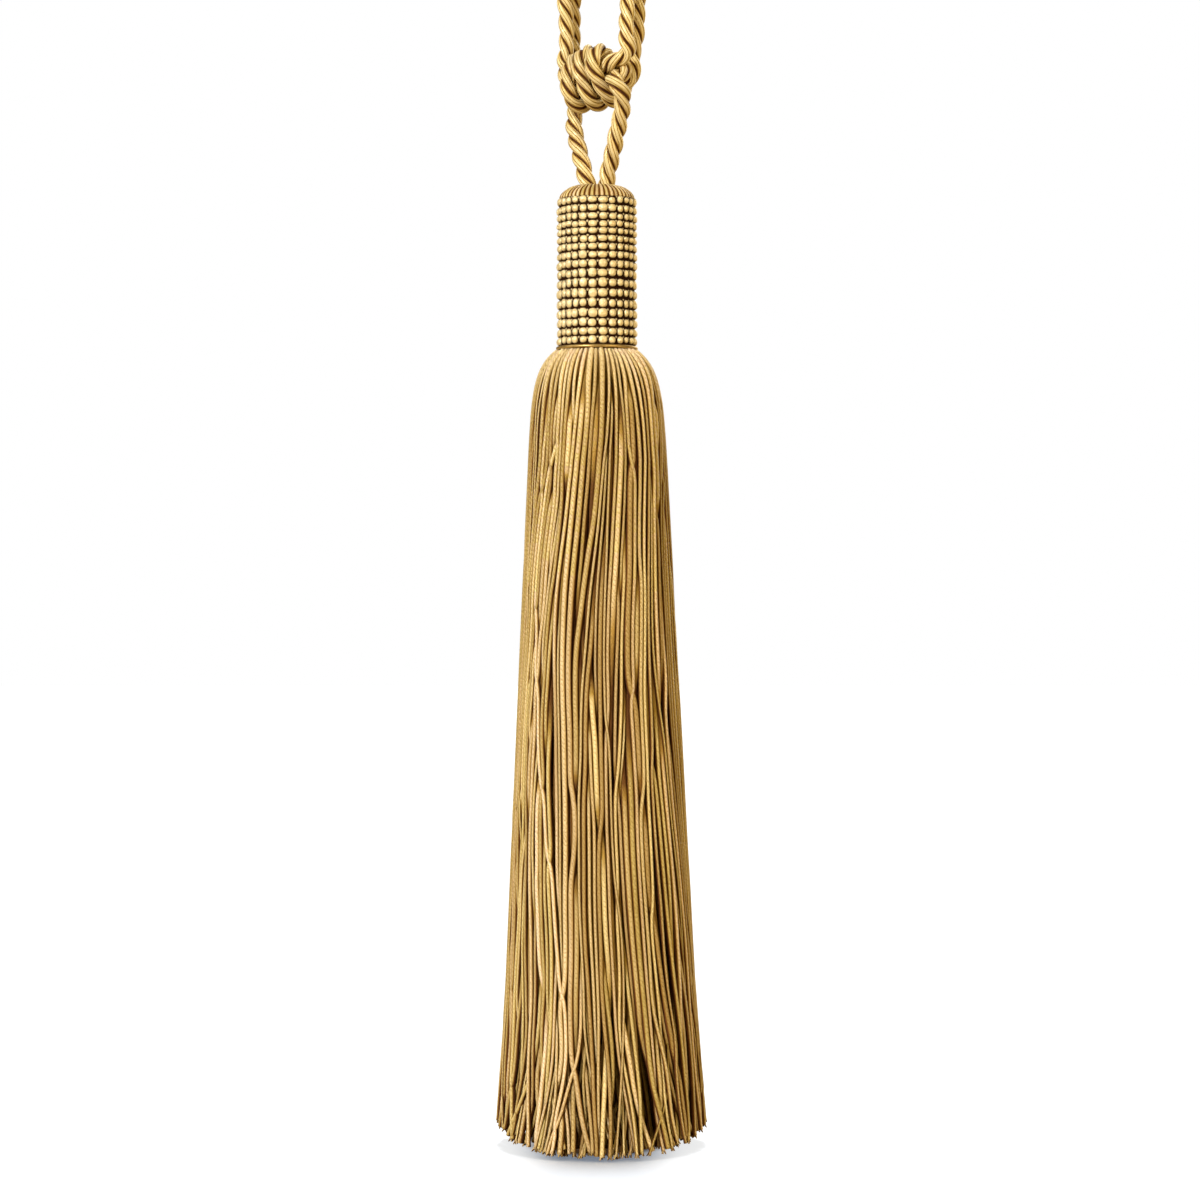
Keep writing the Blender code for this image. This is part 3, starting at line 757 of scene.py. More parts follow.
def layCord(name, route, closed, finish, seed, girth, pale):
    # three plies laid round the route, to the left
    line = curveThrough(list(route), cord["step"])
    if closed:
        line = line[:-1]
    else:
        # both ends go on a little way into the head
        reach = np.array(cord["intoHead"])[:, None] / (2 * cord["step"])
        lead = line[0] + (line[0] - line[2]) * reach
        tail = line[-1] + (line[-1] - line[-3]) * reach[::-1]
        line = np.vstack([lead, line, tail])
    ahead, sides = carriedFrames(line, closed)
    across = np.cross(ahead, sides)
    run = np.r_[0, np.cumsum(np.linalg.norm(np.diff(line, axis=0), axis=1))]
    third = fullTurn / 3
    spin = -fullTurn / cord["lay"]
    shift = 0
    if closed:
        # whole plies meet at the join
        last = sides[-1] - ahead[0] * (sides[-1] @ ahead[0])
        drift = math.atan2(np.cross(sides[0], last) @ ahead[0], sides[0] @ last)
        length = run[-1] + np.linalg.norm(line[-1] - line[0])
        plies = round((spin * length + drift) / third)
        spin = (plies * third - drift) / length
        shift = plies % 3
    # full width in the knot, then the cord's own girth
    away = ramp(np.linalg.norm(line - knotMid, axis=1), *cord["girthFrom"])
    radius = cordWidth(line) / 2 * (1 + (girth - 1) * away)
    draw = np.random.default_rng(seed)
    lines, joins = [], []
    columns = {}
    for ply in range(3):
        angle = ply * third + spin * run
        reach = (cord["plyReach"] * radius)[:, None]
        lines.append(line + reach * (np.cos(angle)[:, None] * sides + np.sin(angle)[:, None] * across))
        joins.append(((ply + shift) % 3) * len(line) if closed else None)
        size = 1.0 + 0 * run
        for much, wave, lag in cord["swell"]:
            size += much * np.sin(run / wave + ply * lag)
        size *= radius / (cord["width"] / 2)
        if not closed:
            size[0] = size[-1] = 0.0
        tone = pale + cord["toneSpread"] * draw.random() + cord["plyTone"] * ply
        addRow(columns, run=run * mm, size=size, tone=0 * run + tone, shade=0 * run, open=0 * run + 1,
               core=line * mm)
    return bakeTree(name, lineMesh(name, lines, joins, columns), trees["sweep"], {
        "Width": cord["width"] * cord["plyWidth"] * mm, "Sides": cord["sides"], "Finish": finish})


# node, whether it closes on itself, seed, girth and paleness
# the tassel's own cord is less pale than the loops: painted shade on its legs
cordTable = (("tassel_cord", False, 3, 1.03, 0.722), ("embrace_cord_inner", True, 5, 0.94, 0.844),
             ("embrace_cord_outer", True, 8, 0.94, 0.820))


def buildCords():
    finish = silkMaterial("laidCordSilk", cordSilk)
    for route, (node, closed, seed, girth, pale) in zip(cordRoutes(), cordTable):
        piece = layCord(node + "_laid", route, closed, finish, seed, girth, pale)
        path = curveThrough(list(route), cord["step"]) * mm
        length = float(np.linalg.norm(np.diff(path, axis=0), axis=1).sum())
        standFor(piece, node)
        say(f"{piece.name} {length * 1000:.1f} mm, {len(piece.data.loop_triangles)} triangles")


# the beaded head, its dome of thread and its collar

head = {
    "columns": 26, "rows": 17, "firstRow": -79.2, "lastRow": -126.4, "rowSwell": 0.15, "turnRow": 3.2,
    "rowWave": 15.0, "columnSwell": 0.13, "columnTurn": 0.02, "stray": 0.10,
    "smaller": 0.15, "smallerAt": 0.9, "smallerReach": 0.4,
    "seat": 12.35, "beadWide": 2.96, "beadHigh": 0.94, "beadDeep": 2.7, "square": 2.4, "uneven": 0.11,
    "linkSeat": 12.7, "linkWide": 1.0, "linkRise": 0.30, "linkUneven": 0.1,
    "netTop": -77.9, "netFoot": -128.1, "netRadius": 12.75, "netBore": 12.25, "netSides": 78,
    "domeTop": -73.1, "mouldRadius": 11.9, "mouldFoot": -129.7,
    "threads": 46, "threadDepth": 0.42, "threadSteps": 6, "threadUp": 0.6, "threadRound": 0.7,
    # a thread stands proud of the dome where its round is higher than this
    "threadLevel": 0.7,
    # depths below the top: at the cord hole, where the dome meets the mould, and where its threads end
    "holeDip": 2.6, "domeDeep": 6.3, "threadsTo": 6.1,
    # the radius at which the threads reach their full height
    "threadsFull": 7.0,
    # how unevenly the threads are laid, the darkest of them, and how much paler they go
    "threadUneven": 0.5, "threadPale": (0.25, 0.6),
}
beadGold = {
    "metal": 0.28, "shine": 0.6, "scale": 1000.0, "bright": (1.0, 0.86, 0.53, 1.0),
    "dull": (0.74, 0.48, 0.15, 1.0), "bias": 0.62, "depth": 0.50,
    "sunkFrom": 12.75, "sunkTo": 13.40, "creviceShade": 0.98, "creviceShadeColour": (0.030, 0.007, 0.0003, 1.0),
}
# the net under the beads is coloured almost black, painted shade in the gaps between them
netPaintedShade = {
    "rough": 0.9, "shine": 0.1, "scale": 1500.0, "bright": (0.030, 0.008, 0.0004, 1.0),
    "dull": (0.010, 0.002, 0.0001, 1.0), "bias": 0.5, "depth": 0.1,
}
collarGold = {
    "metal": 0.75, "shine": 0.6, "scale": 700.0, "bright": (0.64, 0.45, 0.17, 1.0),
    "dull": (0.34, 0.20, 0.05, 1.0), "bias": 0.5, "depth": 0.03,
    "sunkFrom": 13.2, "sunkTo": 13.85, "creviceShade": 0.9, "creviceShadeColour": (0.07, 0.02, 0.001, 1.0),
}
domeSilk = {
    "shine": 0.35, "rough": 0.30, "roughPale": 0.30, "yarnsPerThread": 4.0, "driftScale": 150.0, "drift": 0.4,
    "ragged": 0.01, "raggedScale": 90.0, "depth": 0.10,
    "holeFrom": 0.0025, "holeTo": 0.0058, "holeShade": 0.8,
    "grooveFrom": 0.05, "grooveTo": 0.62, "grooveShade": 0.95, "creaseShade": 0.2,
}
# radius of the dome and its depth below the top
domeShape = ((1.2, 2.4), (2.6, 1.5), (3.9, 0.72), (5.0, 0.34), (6.2, 0.22), (7.4, 0.36), (8.6, 0.72),
             (9.8, 1.28), (10.8, 1.95), (11.7, 2.75), (12.35, 3.6), (12.65, 4.4), (12.5, 5.2), (12.1, 5.9))
collar = {
    "outer": 13.95, "inner": 12.3, "top": -128.0, "foot": -129.15, "roll": 0.55, "lip": 0.9, "sides": 120,
    # how far the edges lie within the top and foot, at the bore and at the lip
    "dish": (0.15, 0.1),
}


def rowHeights():
    # the rows stand close near the top and wider apart lower down
    gap = np.arange(head["rows"] - 1)
    share = 1 - head["rowSwell"] * np.cos(fullTurn * (gap - head["turnRow"]) / head["rowWave"])
    down = np.r_[0, np.cumsum(share)] / share.sum()
    return head["firstRow"] + (head["lastRow"] - head["firstRow"]) * down


def goldMaterial(name, look):
    made, tree, shader = newMaterial(name, {
        "Metallic": look["metal"], "Specular IOR Level": look["shine"]})
    place = objectPlace(tree)
    speck = useGroup(tree, "speck", Place=place, Scale=look["scale"], Bright=look["bright"],
                     Dull=look["dull"], Bias=look["bias"])
    x, y, _ = separate(tree, place)
    # painted shade: nearer the axis, between the beads and on the collar's top and foot, the gold darkens to
    # the crevice colour
    near, far = look["sunkFrom"] * mm, look["sunkTo"] * mm
    creviceShade = remap(tree, fromMiddle(tree, x, y), near, far, look["creviceShade"], 0.0, True)
    feed(tree, shader.inputs["Base Color"], blendColour(tree, creviceShade, speck["Colour"], look["creviceShadeColour"]))
    feed(tree, shader.inputs["Roughness"], sums(tree, "MULTIPLY_ADD", creviceShade, 0.5, speck["Roughness"]))
    raised(tree, shader, speck["Height"], look["depth"])
    return made


def netMaterial():
    made, tree, shader = newMaterial("netPaintedShade", {
        "Roughness": netPaintedShade["rough"], "Specular IOR Level": netPaintedShade["shine"]})
    weave = useGroup(tree, "speck", Place=objectPlace(tree), Scale=netPaintedShade["scale"],
                     Bright=netPaintedShade["bright"], Dull=netPaintedShade["dull"], Bias=netPaintedShade["bias"])
    feed(tree, shader.inputs["Base Color"], weave["Colour"])
    raised(tree, shader, weave["Height"], netPaintedShade["depth"])
    return made


def domeMaterial():
    made, tree, shader = newMaterial("domeSilk", {
        "Specular IOR Level": domeSilk["shine"], "Specular Tint": silkTint})
    x, y, _ = separate(tree, objectPlace(tree))
    angle = sums(tree, "DIVIDE", sums(tree, "ARCTAN2", y, x), fullTurn)
    reach = fromMiddle(tree, x, y)
    lines = useGroup(tree, "lines", Run_Round=combine(tree, reach, angle, 0.0), Lean=0.0,
                     Yarns=domeSilk["yarnsPerThread"] * head["threads"], Ragged=domeSilk["ragged"],
                     Ragged_Scale=domeSilk["raggedScale"])
    # painted shade darkens the dome at the cord hole and between its threads
    hole = remap(tree, reach, domeSilk["holeFrom"], domeSilk["holeTo"], domeSilk["holeShade"], 0.0, True)
    groove = remap(tree, attribute(tree, "groove"), domeSilk["grooveFrom"], domeSilk["grooveTo"],
                   0.0, domeSilk["grooveShade"], True)
    shade = sums(tree, "MAXIMUM", hole, groove)
    shade = sums(tree, "MAXIMUM", shade, sums(tree, "MULTIPLY", lines["Crease"], domeSilk["creaseShade"]))
    # the dome's painted shade takes the darker gold of a strand's flanks
    dyeSilk(tree, shader, lines, shade, remap(tree, shade, 0.0, 0.4), domeSilk)
    return made


def turned(name, profile, sides, finish, ridge=None, bored=False):
    # profile runs from the top down on the outside, as radius and height, and closes round a bore
    points, faces, rows = [], [], []
    for r, z in profile:
        first = len(points)
        if r < 1e-6:
            rows.append([first] * sides)
            points.append((0.0, 0.0, z))
            continue
        rows.append(list(range(first, first + sides)))
        for n in range(sides):
            a = fullTurn * n / sides
            lift = ridge(r, z, n) if ridge else 0.0
            points.append(((r + lift) * math.cos(a), (r + lift) * math.sin(a), z + lift * head["threadUp"]))
    for upper, lower in zip(rows, rows[1:] + rows[:bored]):
        for n in range(sides):
            m = (n + 1) % sides
            # a point on the axis counts once in a face
            faces.append(tuple(dict.fromkeys((upper[n], lower[n], lower[m], upper[m]))))
    piece = meshPiece(name, points, faces, finish)
    if bored:
        piece.data.set_sharp_from_angle(angle=math.radians(40))
    return piece


def seatMesh(name, radius, shift, heights, pitch, rise, room, seed):
    # one point for each bead, with the width and height that it has room for
    draw = np.random.default_rng(seed)
    points, rooms = [], []
    for z, gap, high in zip(heights, pitch, room):
        for c in range(head["columns"]):
            even = (c + shift) * (fullTurn / head["columns"])
            a = even + head["columnSwell"] / 4 * math.sin(4 * even) - math.pi / 2 + head["columnTurn"]
            a += head["stray"] / radius * draw.normal()
            height = z + rise * gap + head["stray"] * draw.normal()
            points.append((radius * math.cos(a), radius * math.sin(a), height))
            # the columns a little to the right of the front are threaded with smaller beads
            aside = (even - head["smallerAt"]) / head["smallerReach"]
            small = 1 - head["smaller"] * math.exp(-aside ** 2)
            rooms.append((1.0, (1 + head["columnSwell"] * math.cos(4 * even)) * small, high * small * mm))
    mesh = bpy.data.meshes.new(name)
    mesh.from_pydata((np.array(points) * mm).tolist(), [], [])
    keepValues(mesh, "room", rooms)
    return mesh


def buildHead():
    heights = rowHeights()
    pitch = -np.gradient(heights)
    beadLook = goldMaterial("goldBead", beadGold)
    # a gap between two columns faces the front
    seats = seatMesh("bead_seats", head["seat"], 0.5, heights, pitch, 0.0, pitch, 14)
    beads = bakeTree("sleeve_beads", seats, trees["seat"], {
        "Wide": head["beadWide"] * mm, "High": head["beadHigh"], "Deep": head["beadDeep"] * mm,
        "Segments": 14, "Rings": 8, "Square": head["square"], "Uneven": head["uneven"], "Seed": 4,
        "Finish": beadLook})
    small = head["linkWide"]
    room = 0 * pitch + small
    seats = seatMesh("link_seats", head["linkSeat"], 0.0, heights, pitch, head["linkRise"], room, 15)
    links = bakeTree("sleeve_link_beads", seats, trees["seat"], {
        "Wide": small * mm, "High": 1.0, "Deep": small * mm, "Segments": 7, "Rings": 5, "Square": 2.0,
        "Uneven": head["linkUneven"], "Seed": 9, "Finish": beadLook})
    bore, rim, top, foot = (head[part] for part in ("netBore", "netRadius", "netTop", "netFoot"))
    profile = ((bore, top), (rim, top), (rim, foot), (bore, foot))
    net = turned("sleeve_net", profile, head["netSides"], netMaterial(), bored=True)
    for piece in (beads, links, net):
        standFor(piece, "bead_sleeve")
    standFor(buildDome(), "head_mould")
    standFor(buildCollar(goldMaterial("goldCollar", collarGold)), "neck_ring")
    say("head done")


def buildDome():
    # silk threads laid from the cord hole over the shoulder
    top, count, steps = head["domeTop"], head["threads"], head["threadSteps"]
    mould, foot = head["mouldRadius"], head["mouldFoot"]
    profile = [(0.0, top - head["holeDip"])] + [(r, top - d) for r, d in domeShape]
    profile += [(mould, top - head["domeDeep"]), (mould, foot), (0.0, foot)]
    draw = np.random.default_rng(12)
    thick = 1.0 + head["threadUneven"] * (draw.random(count) - 0.5)
    dark, lighter = head["threadPale"]
    pale = dark + lighter * draw.random(count)

    def across(n):
        return abs(math.sin(math.pi * n / steps)) ** head["threadRound"]

    def ridge(r, z, n):
        if z < top - head["threadsTo"]:
            return 0.0
        lift = across(n) * thick[n // steps] - head["threadLevel"]
        return head["threadDepth"] * lift * min(1.0, r / head["threadsFull"])

    sides = count * steps
    piece = turned("head_thread_dome", profile, sides, domeMaterial(), ridge)
    # the groove, from which the material paints shade between the threads, and each thread's tone
    onAxis = [(0.0, 1.0)]
    around = [(1.0 - across(n), pale[n // steps]) for n in range(sides)]
    table = np.array(onAxis + around * (len(profile) - 2) + onAxis)
    keepValues(piece.data, "groove", table[:, 0])
    keepValues(piece.data, "tone", table[:, 1])
    return piece


def buildCollar(finish):
    # a smooth turned band with a rolled edge
    outer, inner, top, foot = (collar[part] for part in ("outer", "inner", "top", "foot"))
    bore, lip = collar["dish"]
    profile = [(inner, top - bore), (outer - collar["lip"], top - lip)]
    for a in np.linspace(math.pi / 2, -math.pi / 2, 9):
        across = outer - collar["roll"] * (1 - math.cos(a))
        profile.append((across, (top + foot) / 2 + (top - foot) / 2 * math.sin(a)))
    profile += [(outer - collar["lip"], foot + lip), (inner, foot + bore)]
    return turned("neck_collar", profile, collar["sides"], finish, bored=True)


# the skirt of cut strands

skirt = {
    "top": -129.2, "neck": 13.6, "bulge": 8.1, "bulgeDrop": 6.2, "flare": 0.0489, "drift": 1.5,
    "yarn": 1.46, "yarnAtNeck": 1.26, "slimmer": 0.14, "unevenYarn": 0.38, "unevenCore": 0.08,
    "coreYarn": 1.35, "sizeLimits": (0.66, 1.5), "swellOver": 22.0, "slimFrom": (120.0, 148.0),
    "deepest": 268.6,
    # the share of strands that end a lock, the gap after it and inside it, and each ring's turn on the last
    "looseShare": 0.55, "lockGap": (0.15, 0.35), "gap": 0.02, "ringTurn": 0.37,
    # strands in each ring, and how far it lies inside the outline
    "rings": ((58, 0.0), (38, 1.9), (44, 2.4), (66, 3.0), (66, 4.4), (60, 6.2), (52, 8.4), (44, 11.2),
              (34, 14.4), (24, 17.8), (16, 21.6), (8, 26.5)),
    # where the next rings reach the surface, first and last
    "comeUp": ((38.0, 110.0), (60.0, 165.0), (110.0, 240.0), (190.0, 340.0)),
}
swaying = {
    # how far below the neck each begins, and over what length it grows
    "free": (4.0, 34.0), "leanOver": (12.0, 100.0), "leanBack": (140.0, 110.0), "late": (180.0, 88.0),
    "last": (222.0, 46.0), "most": 1.05,
    "phase": 6.3, "bunches": ((4, 260, 1.6), (7, -200, 0.6)),
    # shortest and longest wave and how wide it is: first each lock's, then each strand's own
    "lockStray": (280, 600, 2.0), "strandStray": ((220, 440, 0.9), (60, 120, 0.22), (30, 60, 0.10)),
    "fan": 7.5, "fanRise": 1.2, "lean": 7.0, "leanLost": 0.5, "splay": 3.8, "splayRise": 2.2,
    "clumps": ((22, 1.3, 2.0), (35, 2.1, 1.4)), "hemFan": 4.0, "hemStray": 5.6, "kink": (34, 50, 0.7),
    "deeper": 0.50, "hemIn": 0.8, "hemOut": 2.6,
}
strandRest = {
    "press": (6.0, 16.0), "bound": (6.0, 14.0), "hem": (215.0, 50.0),
    "rounds": 130, "sortEvery": 12, "near": 2.4, "touch": 0.03, "firm": 0.38, "close": 0.50, "soft": 0.05,
    "furthest": 0.4, "tie": 0.012, "straighten": 0.35, "spare": 0.15, "hemSpare": 1.2, "inward": 0.6,
}
strandTone = {
    "middle": 0.50, "wave": 0.10, "waves": 17, "spread": 0.27, "pressed": 0.75, "pressedSpread": 0.60,
    # painted light at the neck and painted shade under the bulge, and how far each reaches
    "neckPaintedLight": 0.60, "neckReach": 13.0, "bulgePaintedShade": 0.22, "bulgeAt": 34.0, "bulgeReach": 20.0,
    # painted shade by depth: where it begins, over what depth it grows, and its most
    "hidden": (0.26, 0.95, 0.92), "hemLight": 125.0, "hemShade": 0.20,
    # how soon below the neck strands part and painted shade can gather
    "partOver": 20.0, "partAt": 0.06, "shadeLate": 0.05,
}
cutEnds = {
    # how unevenly strands are cut, in the rings between these two and in the others
    "uneven": (0.5, 1.1), "middleRings": (1, 7),
    # past this ring strands have fewer points and don't fray
    "coarsePast": 5,
    # how far the hem rises to both sides, how steeply, and from which distance out
    "sideRise": 6.3, "sidePower": 3.6, "sideFrom": 28.0,
    # the last points of a strand above its cut, clear of the ones before, and how wide the tip is there
    "clear": 3.0, "tip": (2.2, 1.0, 0.15, 0.0), "tipWide": (1.04, 1.12, 0.0),
}
frays = {
    "share": 0.7, "width": 0.50, "sides": 5, "yarns": 4, "untidy": 0.4, "spread": (0.08, 0.26),
    # the cut ends are paler, as loose silk yarn is, and partly as painted light against their shade
    "paler": 0.35, "open": 0.8,
    # a fine yarn's points along the strand, out from its middle, out again as it spreads, and its widths
    "along": (-1.6, -0.6, 0.1, 0.5, 0.8), "longer": 0.25, "out": (0.30, 0.42, 0.46, 0.48, 0.50),
    "outSpread": (0.0, 0.0, 0.3, 1.0, 1.5), "widths": (0.0, 0.9, 1.0, 0.85, 0.0),
}
strandSilk = {
    "shine": 0.6, "rough": 0.42, "roughPale": 0.32, "yarns": 4.0, "lean": 620.0, "ragged": 0.55,
    "raggedScale": 240.0, "grooveFrom": 0.14, "grooveTo": 0.74, "grooveShade": 0.95, "creaseShade": 0.24,
    "flankShadeFrom": 0.03, "flankShadeTo": 0.42, "driftScale": 60.0, "drift": 0.55, "depth": 0.18,
}
# name, rings and sides of each yarn
skirtLayers = (("skirt_outer_strands", (0, 1), 9), ("skirt_second_strands", (2, 3), 8),
               ("skirt_third_strands", (4,), 6),
               ("skirt_core_strands", tuple(range(5, len(skirt["rings"]))), 5))


def skirtRadius(drop):
    d = np.maximum(drop, 0.0)
    return skirt["neck"] + skirt["bulge"] * (1 - np.exp(-d / skirt["bulgeDrop"])) + skirt["flare"] * d


def yarnRadius(drop):
    # thinner where it is bound at the neck, and a little towards its cut end
    swell = ramp(drop, 0.0, skirt["swellOver"])
    slim = 1 - skirt["slimmer"] * ramp(drop, *skirt["slimFrom"])
    return (skirt["yarnAtNeck"] + (skirt["yarn"] - skirt["yarnAtNeck"]) * swell * (2 - swell)) / 2 * slim


def skirtLevels():
    # heights below the neck at which strands are placed, closest together at the bulge
    near = [0, 0.6, 1.3, 2.1, 3.0, 4.0, 5.2, 6.6, 8.2, 10.0, 12.2, 14.8, 18.0]
    return np.array(near + list(np.arange(22.0, skirt["deepest"] + 4.0, 4.0)))


def strandSizes(draw, count, much):
    return np.clip(np.exp(much * draw.normal(size=count)), *skirt["sizeLimits"])


def ringStrands(draw, drops):
    # each strand's angle, ring, size and lock, and how far out it lies at each level
    hem = float(skirtRadius(skirt["deepest"]))
    outline = skirtRadius(drops) - yarnRadius(drops)
    angle, ring, size, reach, lock = [], [], [], [], []
    least, more = skirt["lockGap"]
    for k, (count, deep) in enumerate(skirt["rings"]):
        sizes = strandSizes(draw, count, skirt["unevenYarn"] if k < 4 else skirt["unevenCore"])
        if k > 4:
            sizes = sizes * skirt["coreYarn"]
        # strands lie in locks: each takes as much of the ring as it is wide, with a gap where a lock ends
        ends = draw.random(count) < skirt["looseShare"]
        room = sizes + np.where(ends, least + more * draw.random(count), skirt["gap"])
        lock.append(np.cumsum(ends) + (lock[-1][-1] + 1 if lock else 0))
        angle.append(fullTurn * ((np.cumsum(room) - room / 2) / room.sum() + skirt["ringTurn"] * k))
        size.append(sizes)
        ring.append(np.full(count, k))
        inner = outline[None] * (1 - deep / hem) + np.zeros((count, 1))
        if 1 <= k <= len(skirt["comeUp"]):
            # these come up to the surface as the skirt widens
            first, last = skirt["comeUp"][k - 1]
            upAt = first + (last - first) * draw.random(count)
            inner = outline[None] - deep * np.clip(1 - (drops[None] / upAt[:, None]) ** 2, 0, 1)
        reach.append(inner)
    angle, size, ring, lock = (np.concatenate(given) for given in (angle, size, ring, lock))
    return angle, size, ring, lock, np.vstack(reach), outline


def layStrands():
    draw = np.random.default_rng(21)
    drops = skirtLevels()
    angle, size, ring, lock, reach, outline = ringStrands(draw, drops)
    total = len(angle)
    alone = np.arange(total)
    free = ramp(drops, *swaying["free"])
    # neighbours sway together, so strands bunch and part
    sway = np.zeros((total, len(drops)))
    for waves, length, much in swaying["bunches"]:
        wave = waves * angle[:, None] + fullTurn * drops[None] / length + swaying["phase"] * draw.random()
        sway += much * np.sin(wave)
    # each lock strays as one, and each strand a little by itself
    strays = [(swaying["lockStray"], lock)] + [(stray, alone) for stray in swaying["strandStray"]]
    for (shortest, longest, much), member in strays:
        length = (shortest + (longest - shortest) * draw.random(total))[member, None]
        phase = swaying["phase"] * draw.random(total)[member, None]
        swing = much * draw.normal(size=total)[member, None]
        sway += swing * (np.sin(fullTurn * drops / length + phase) - np.sin(phase))
    sway *= free
    # they fan away from the front, and towards the hem they kink and splay
    late = ramp(drops, *swaying["late"], swaying["most"])
    last = ramp(drops, *swaying["last"], swaying["most"])
    fromFront = angle + math.pi / 2
    clump = sum(much * np.sin(waves * angle + shift * ring) for waves, shift, much in swaying["clumps"])
    stray = np.clip(draw.normal(size=(2, total)), -2.2, 2.2)
    sway += swaying["fan"] * np.sin(fromFront)[:, None] * (drops / skirt["deepest"]) ** swaying["fanRise"]
    # under the neck the whole bundle leans to one side, and part of that is lost again towards the hem
    lean = eased(ramp(drops, *swaying["leanOver"]))
    lean = lean - swaying["leanLost"] * eased(ramp(drops, *swaying["leanBack"]))
    sway -= swaying["lean"] * np.cos(fromFront)[:, None] * lean
    sway += (swaying["splay"] * stray[0])[:, None] * late ** swaying["splayRise"]
    hemSway = swaying["hemFan"] * np.sin(fromFront) + clump + swaying["hemStray"] * stray[1]
    sway += hemSway[:, None] * last ** 2.0
    shortest, more, much = swaying["kink"]
    length = shortest + more * draw.random(total)[:, None]
    phase = swaying["phase"] * draw.random(total)[:, None]
    sway += much * draw.normal(size=total)[:, None] * np.sin(fullTurn * drops / length + phase) * late
    swayed = angle[:, None] + sway / np.maximum(reach, 6.0)
    reach = reach + (draw.normal(size=total) * swaying["deeper"])[:, None] * free
    reach = reach + (draw.random(total) * swaying["hemOut"] - swaying["hemIn"])[:, None] * last ** 1.5
    home = np.stack([reach * np.cos(swayed), reach * np.sin(swayed)], 2)
    at = settleStrands(home, drops, size, outline)
    return at, drops, size, ring, angle, draw


def settleStrands(home, drops, size, outline):
    # at each level the strands push apart like pencils in a jar, and stay smooth along their length
    count = len(drops)
    at = home.copy()
    mean = yarnRadius(drops)
    radius = size[:, None] * mean[None]
    flat = radius.ravel()
    press = ramp(drops, *strandRest["press"])
    hold = (1 - ramp(drops, *strandRest["bound"])) ** 2
    tie = np.maximum(hold, strandRest["tie"])[None, :, None]
    gaps = np.diff(drops)
    share = (gaps[1:] / (gaps[:-1] + gaps[1:]))[None, :, None]
    late = ramp(drops, *strandRest["hem"])
    limit = outline + strandRest["spare"] + strandRest["hemSpare"] * late - (radius - mean)
    for turn in range(strandRest["rounds"]):
        if turn % strandRest["sortEvery"] == 0:
            firsts, seconds = [], []
            for level in range(count):
                if press[level] <= 0:
                    continue
                p = at[:, level]
                near = np.sum((p[:, None] - p[None]) ** 2, axis=2) < strandRest["near"] ** 2
                i, j = np.nonzero(np.triu(near, 1))
                firsts.append(i * count + level)
                seconds.append(j * count + level)
            i, j = np.concatenate(firsts), np.concatenate(seconds)
            push = press[i % count]
        p = at.reshape(-1, 2)
        apart = p[i] - p[j]
        length = np.sqrt(np.sum(apart ** 2, axis=1)) + 1e-9
        # overlap is pushed out firmly, and close neighbours ease a little apart
        gap = length - flat[i] - flat[j]
        need = np.clip(strandRest["touch"] - gap, 0, None) * strandRest["firm"]
        need += np.clip(strandRest["close"] - gap, 0, 0.5) * strandRest["soft"]
        shove = apart / length[:, None] * (need * push)[:, None]
        move = np.stack([np.bincount(i, way, len(p)) - np.bincount(j, way, len(p)) for way in shove.T], 1)
        far = np.sqrt(np.sum(move ** 2, axis=1))
        move *= np.minimum(1, strandRest["furthest"] / np.maximum(far, 1e-9))[:, None]
        at = at + move.reshape(at.shape)
        at = at + tie * (home - at)
        # what the neighbours push is shared out along the strand, and its own kinks stay
        moved = at - home
        middle = moved[:, :-2] * share + moved[:, 2:] * (1 - share)
        at[:, 1:-1] += strandRest["straighten"] * (middle - moved[:, 1:-1])
        out = np.sqrt(np.sum(at ** 2, axis=2))
        over = np.clip(out - limit, 0, None) * strandRest["inward"]
        at = at * (1 - over / np.maximum(out, 1e-9))[:, :, None]
    return at


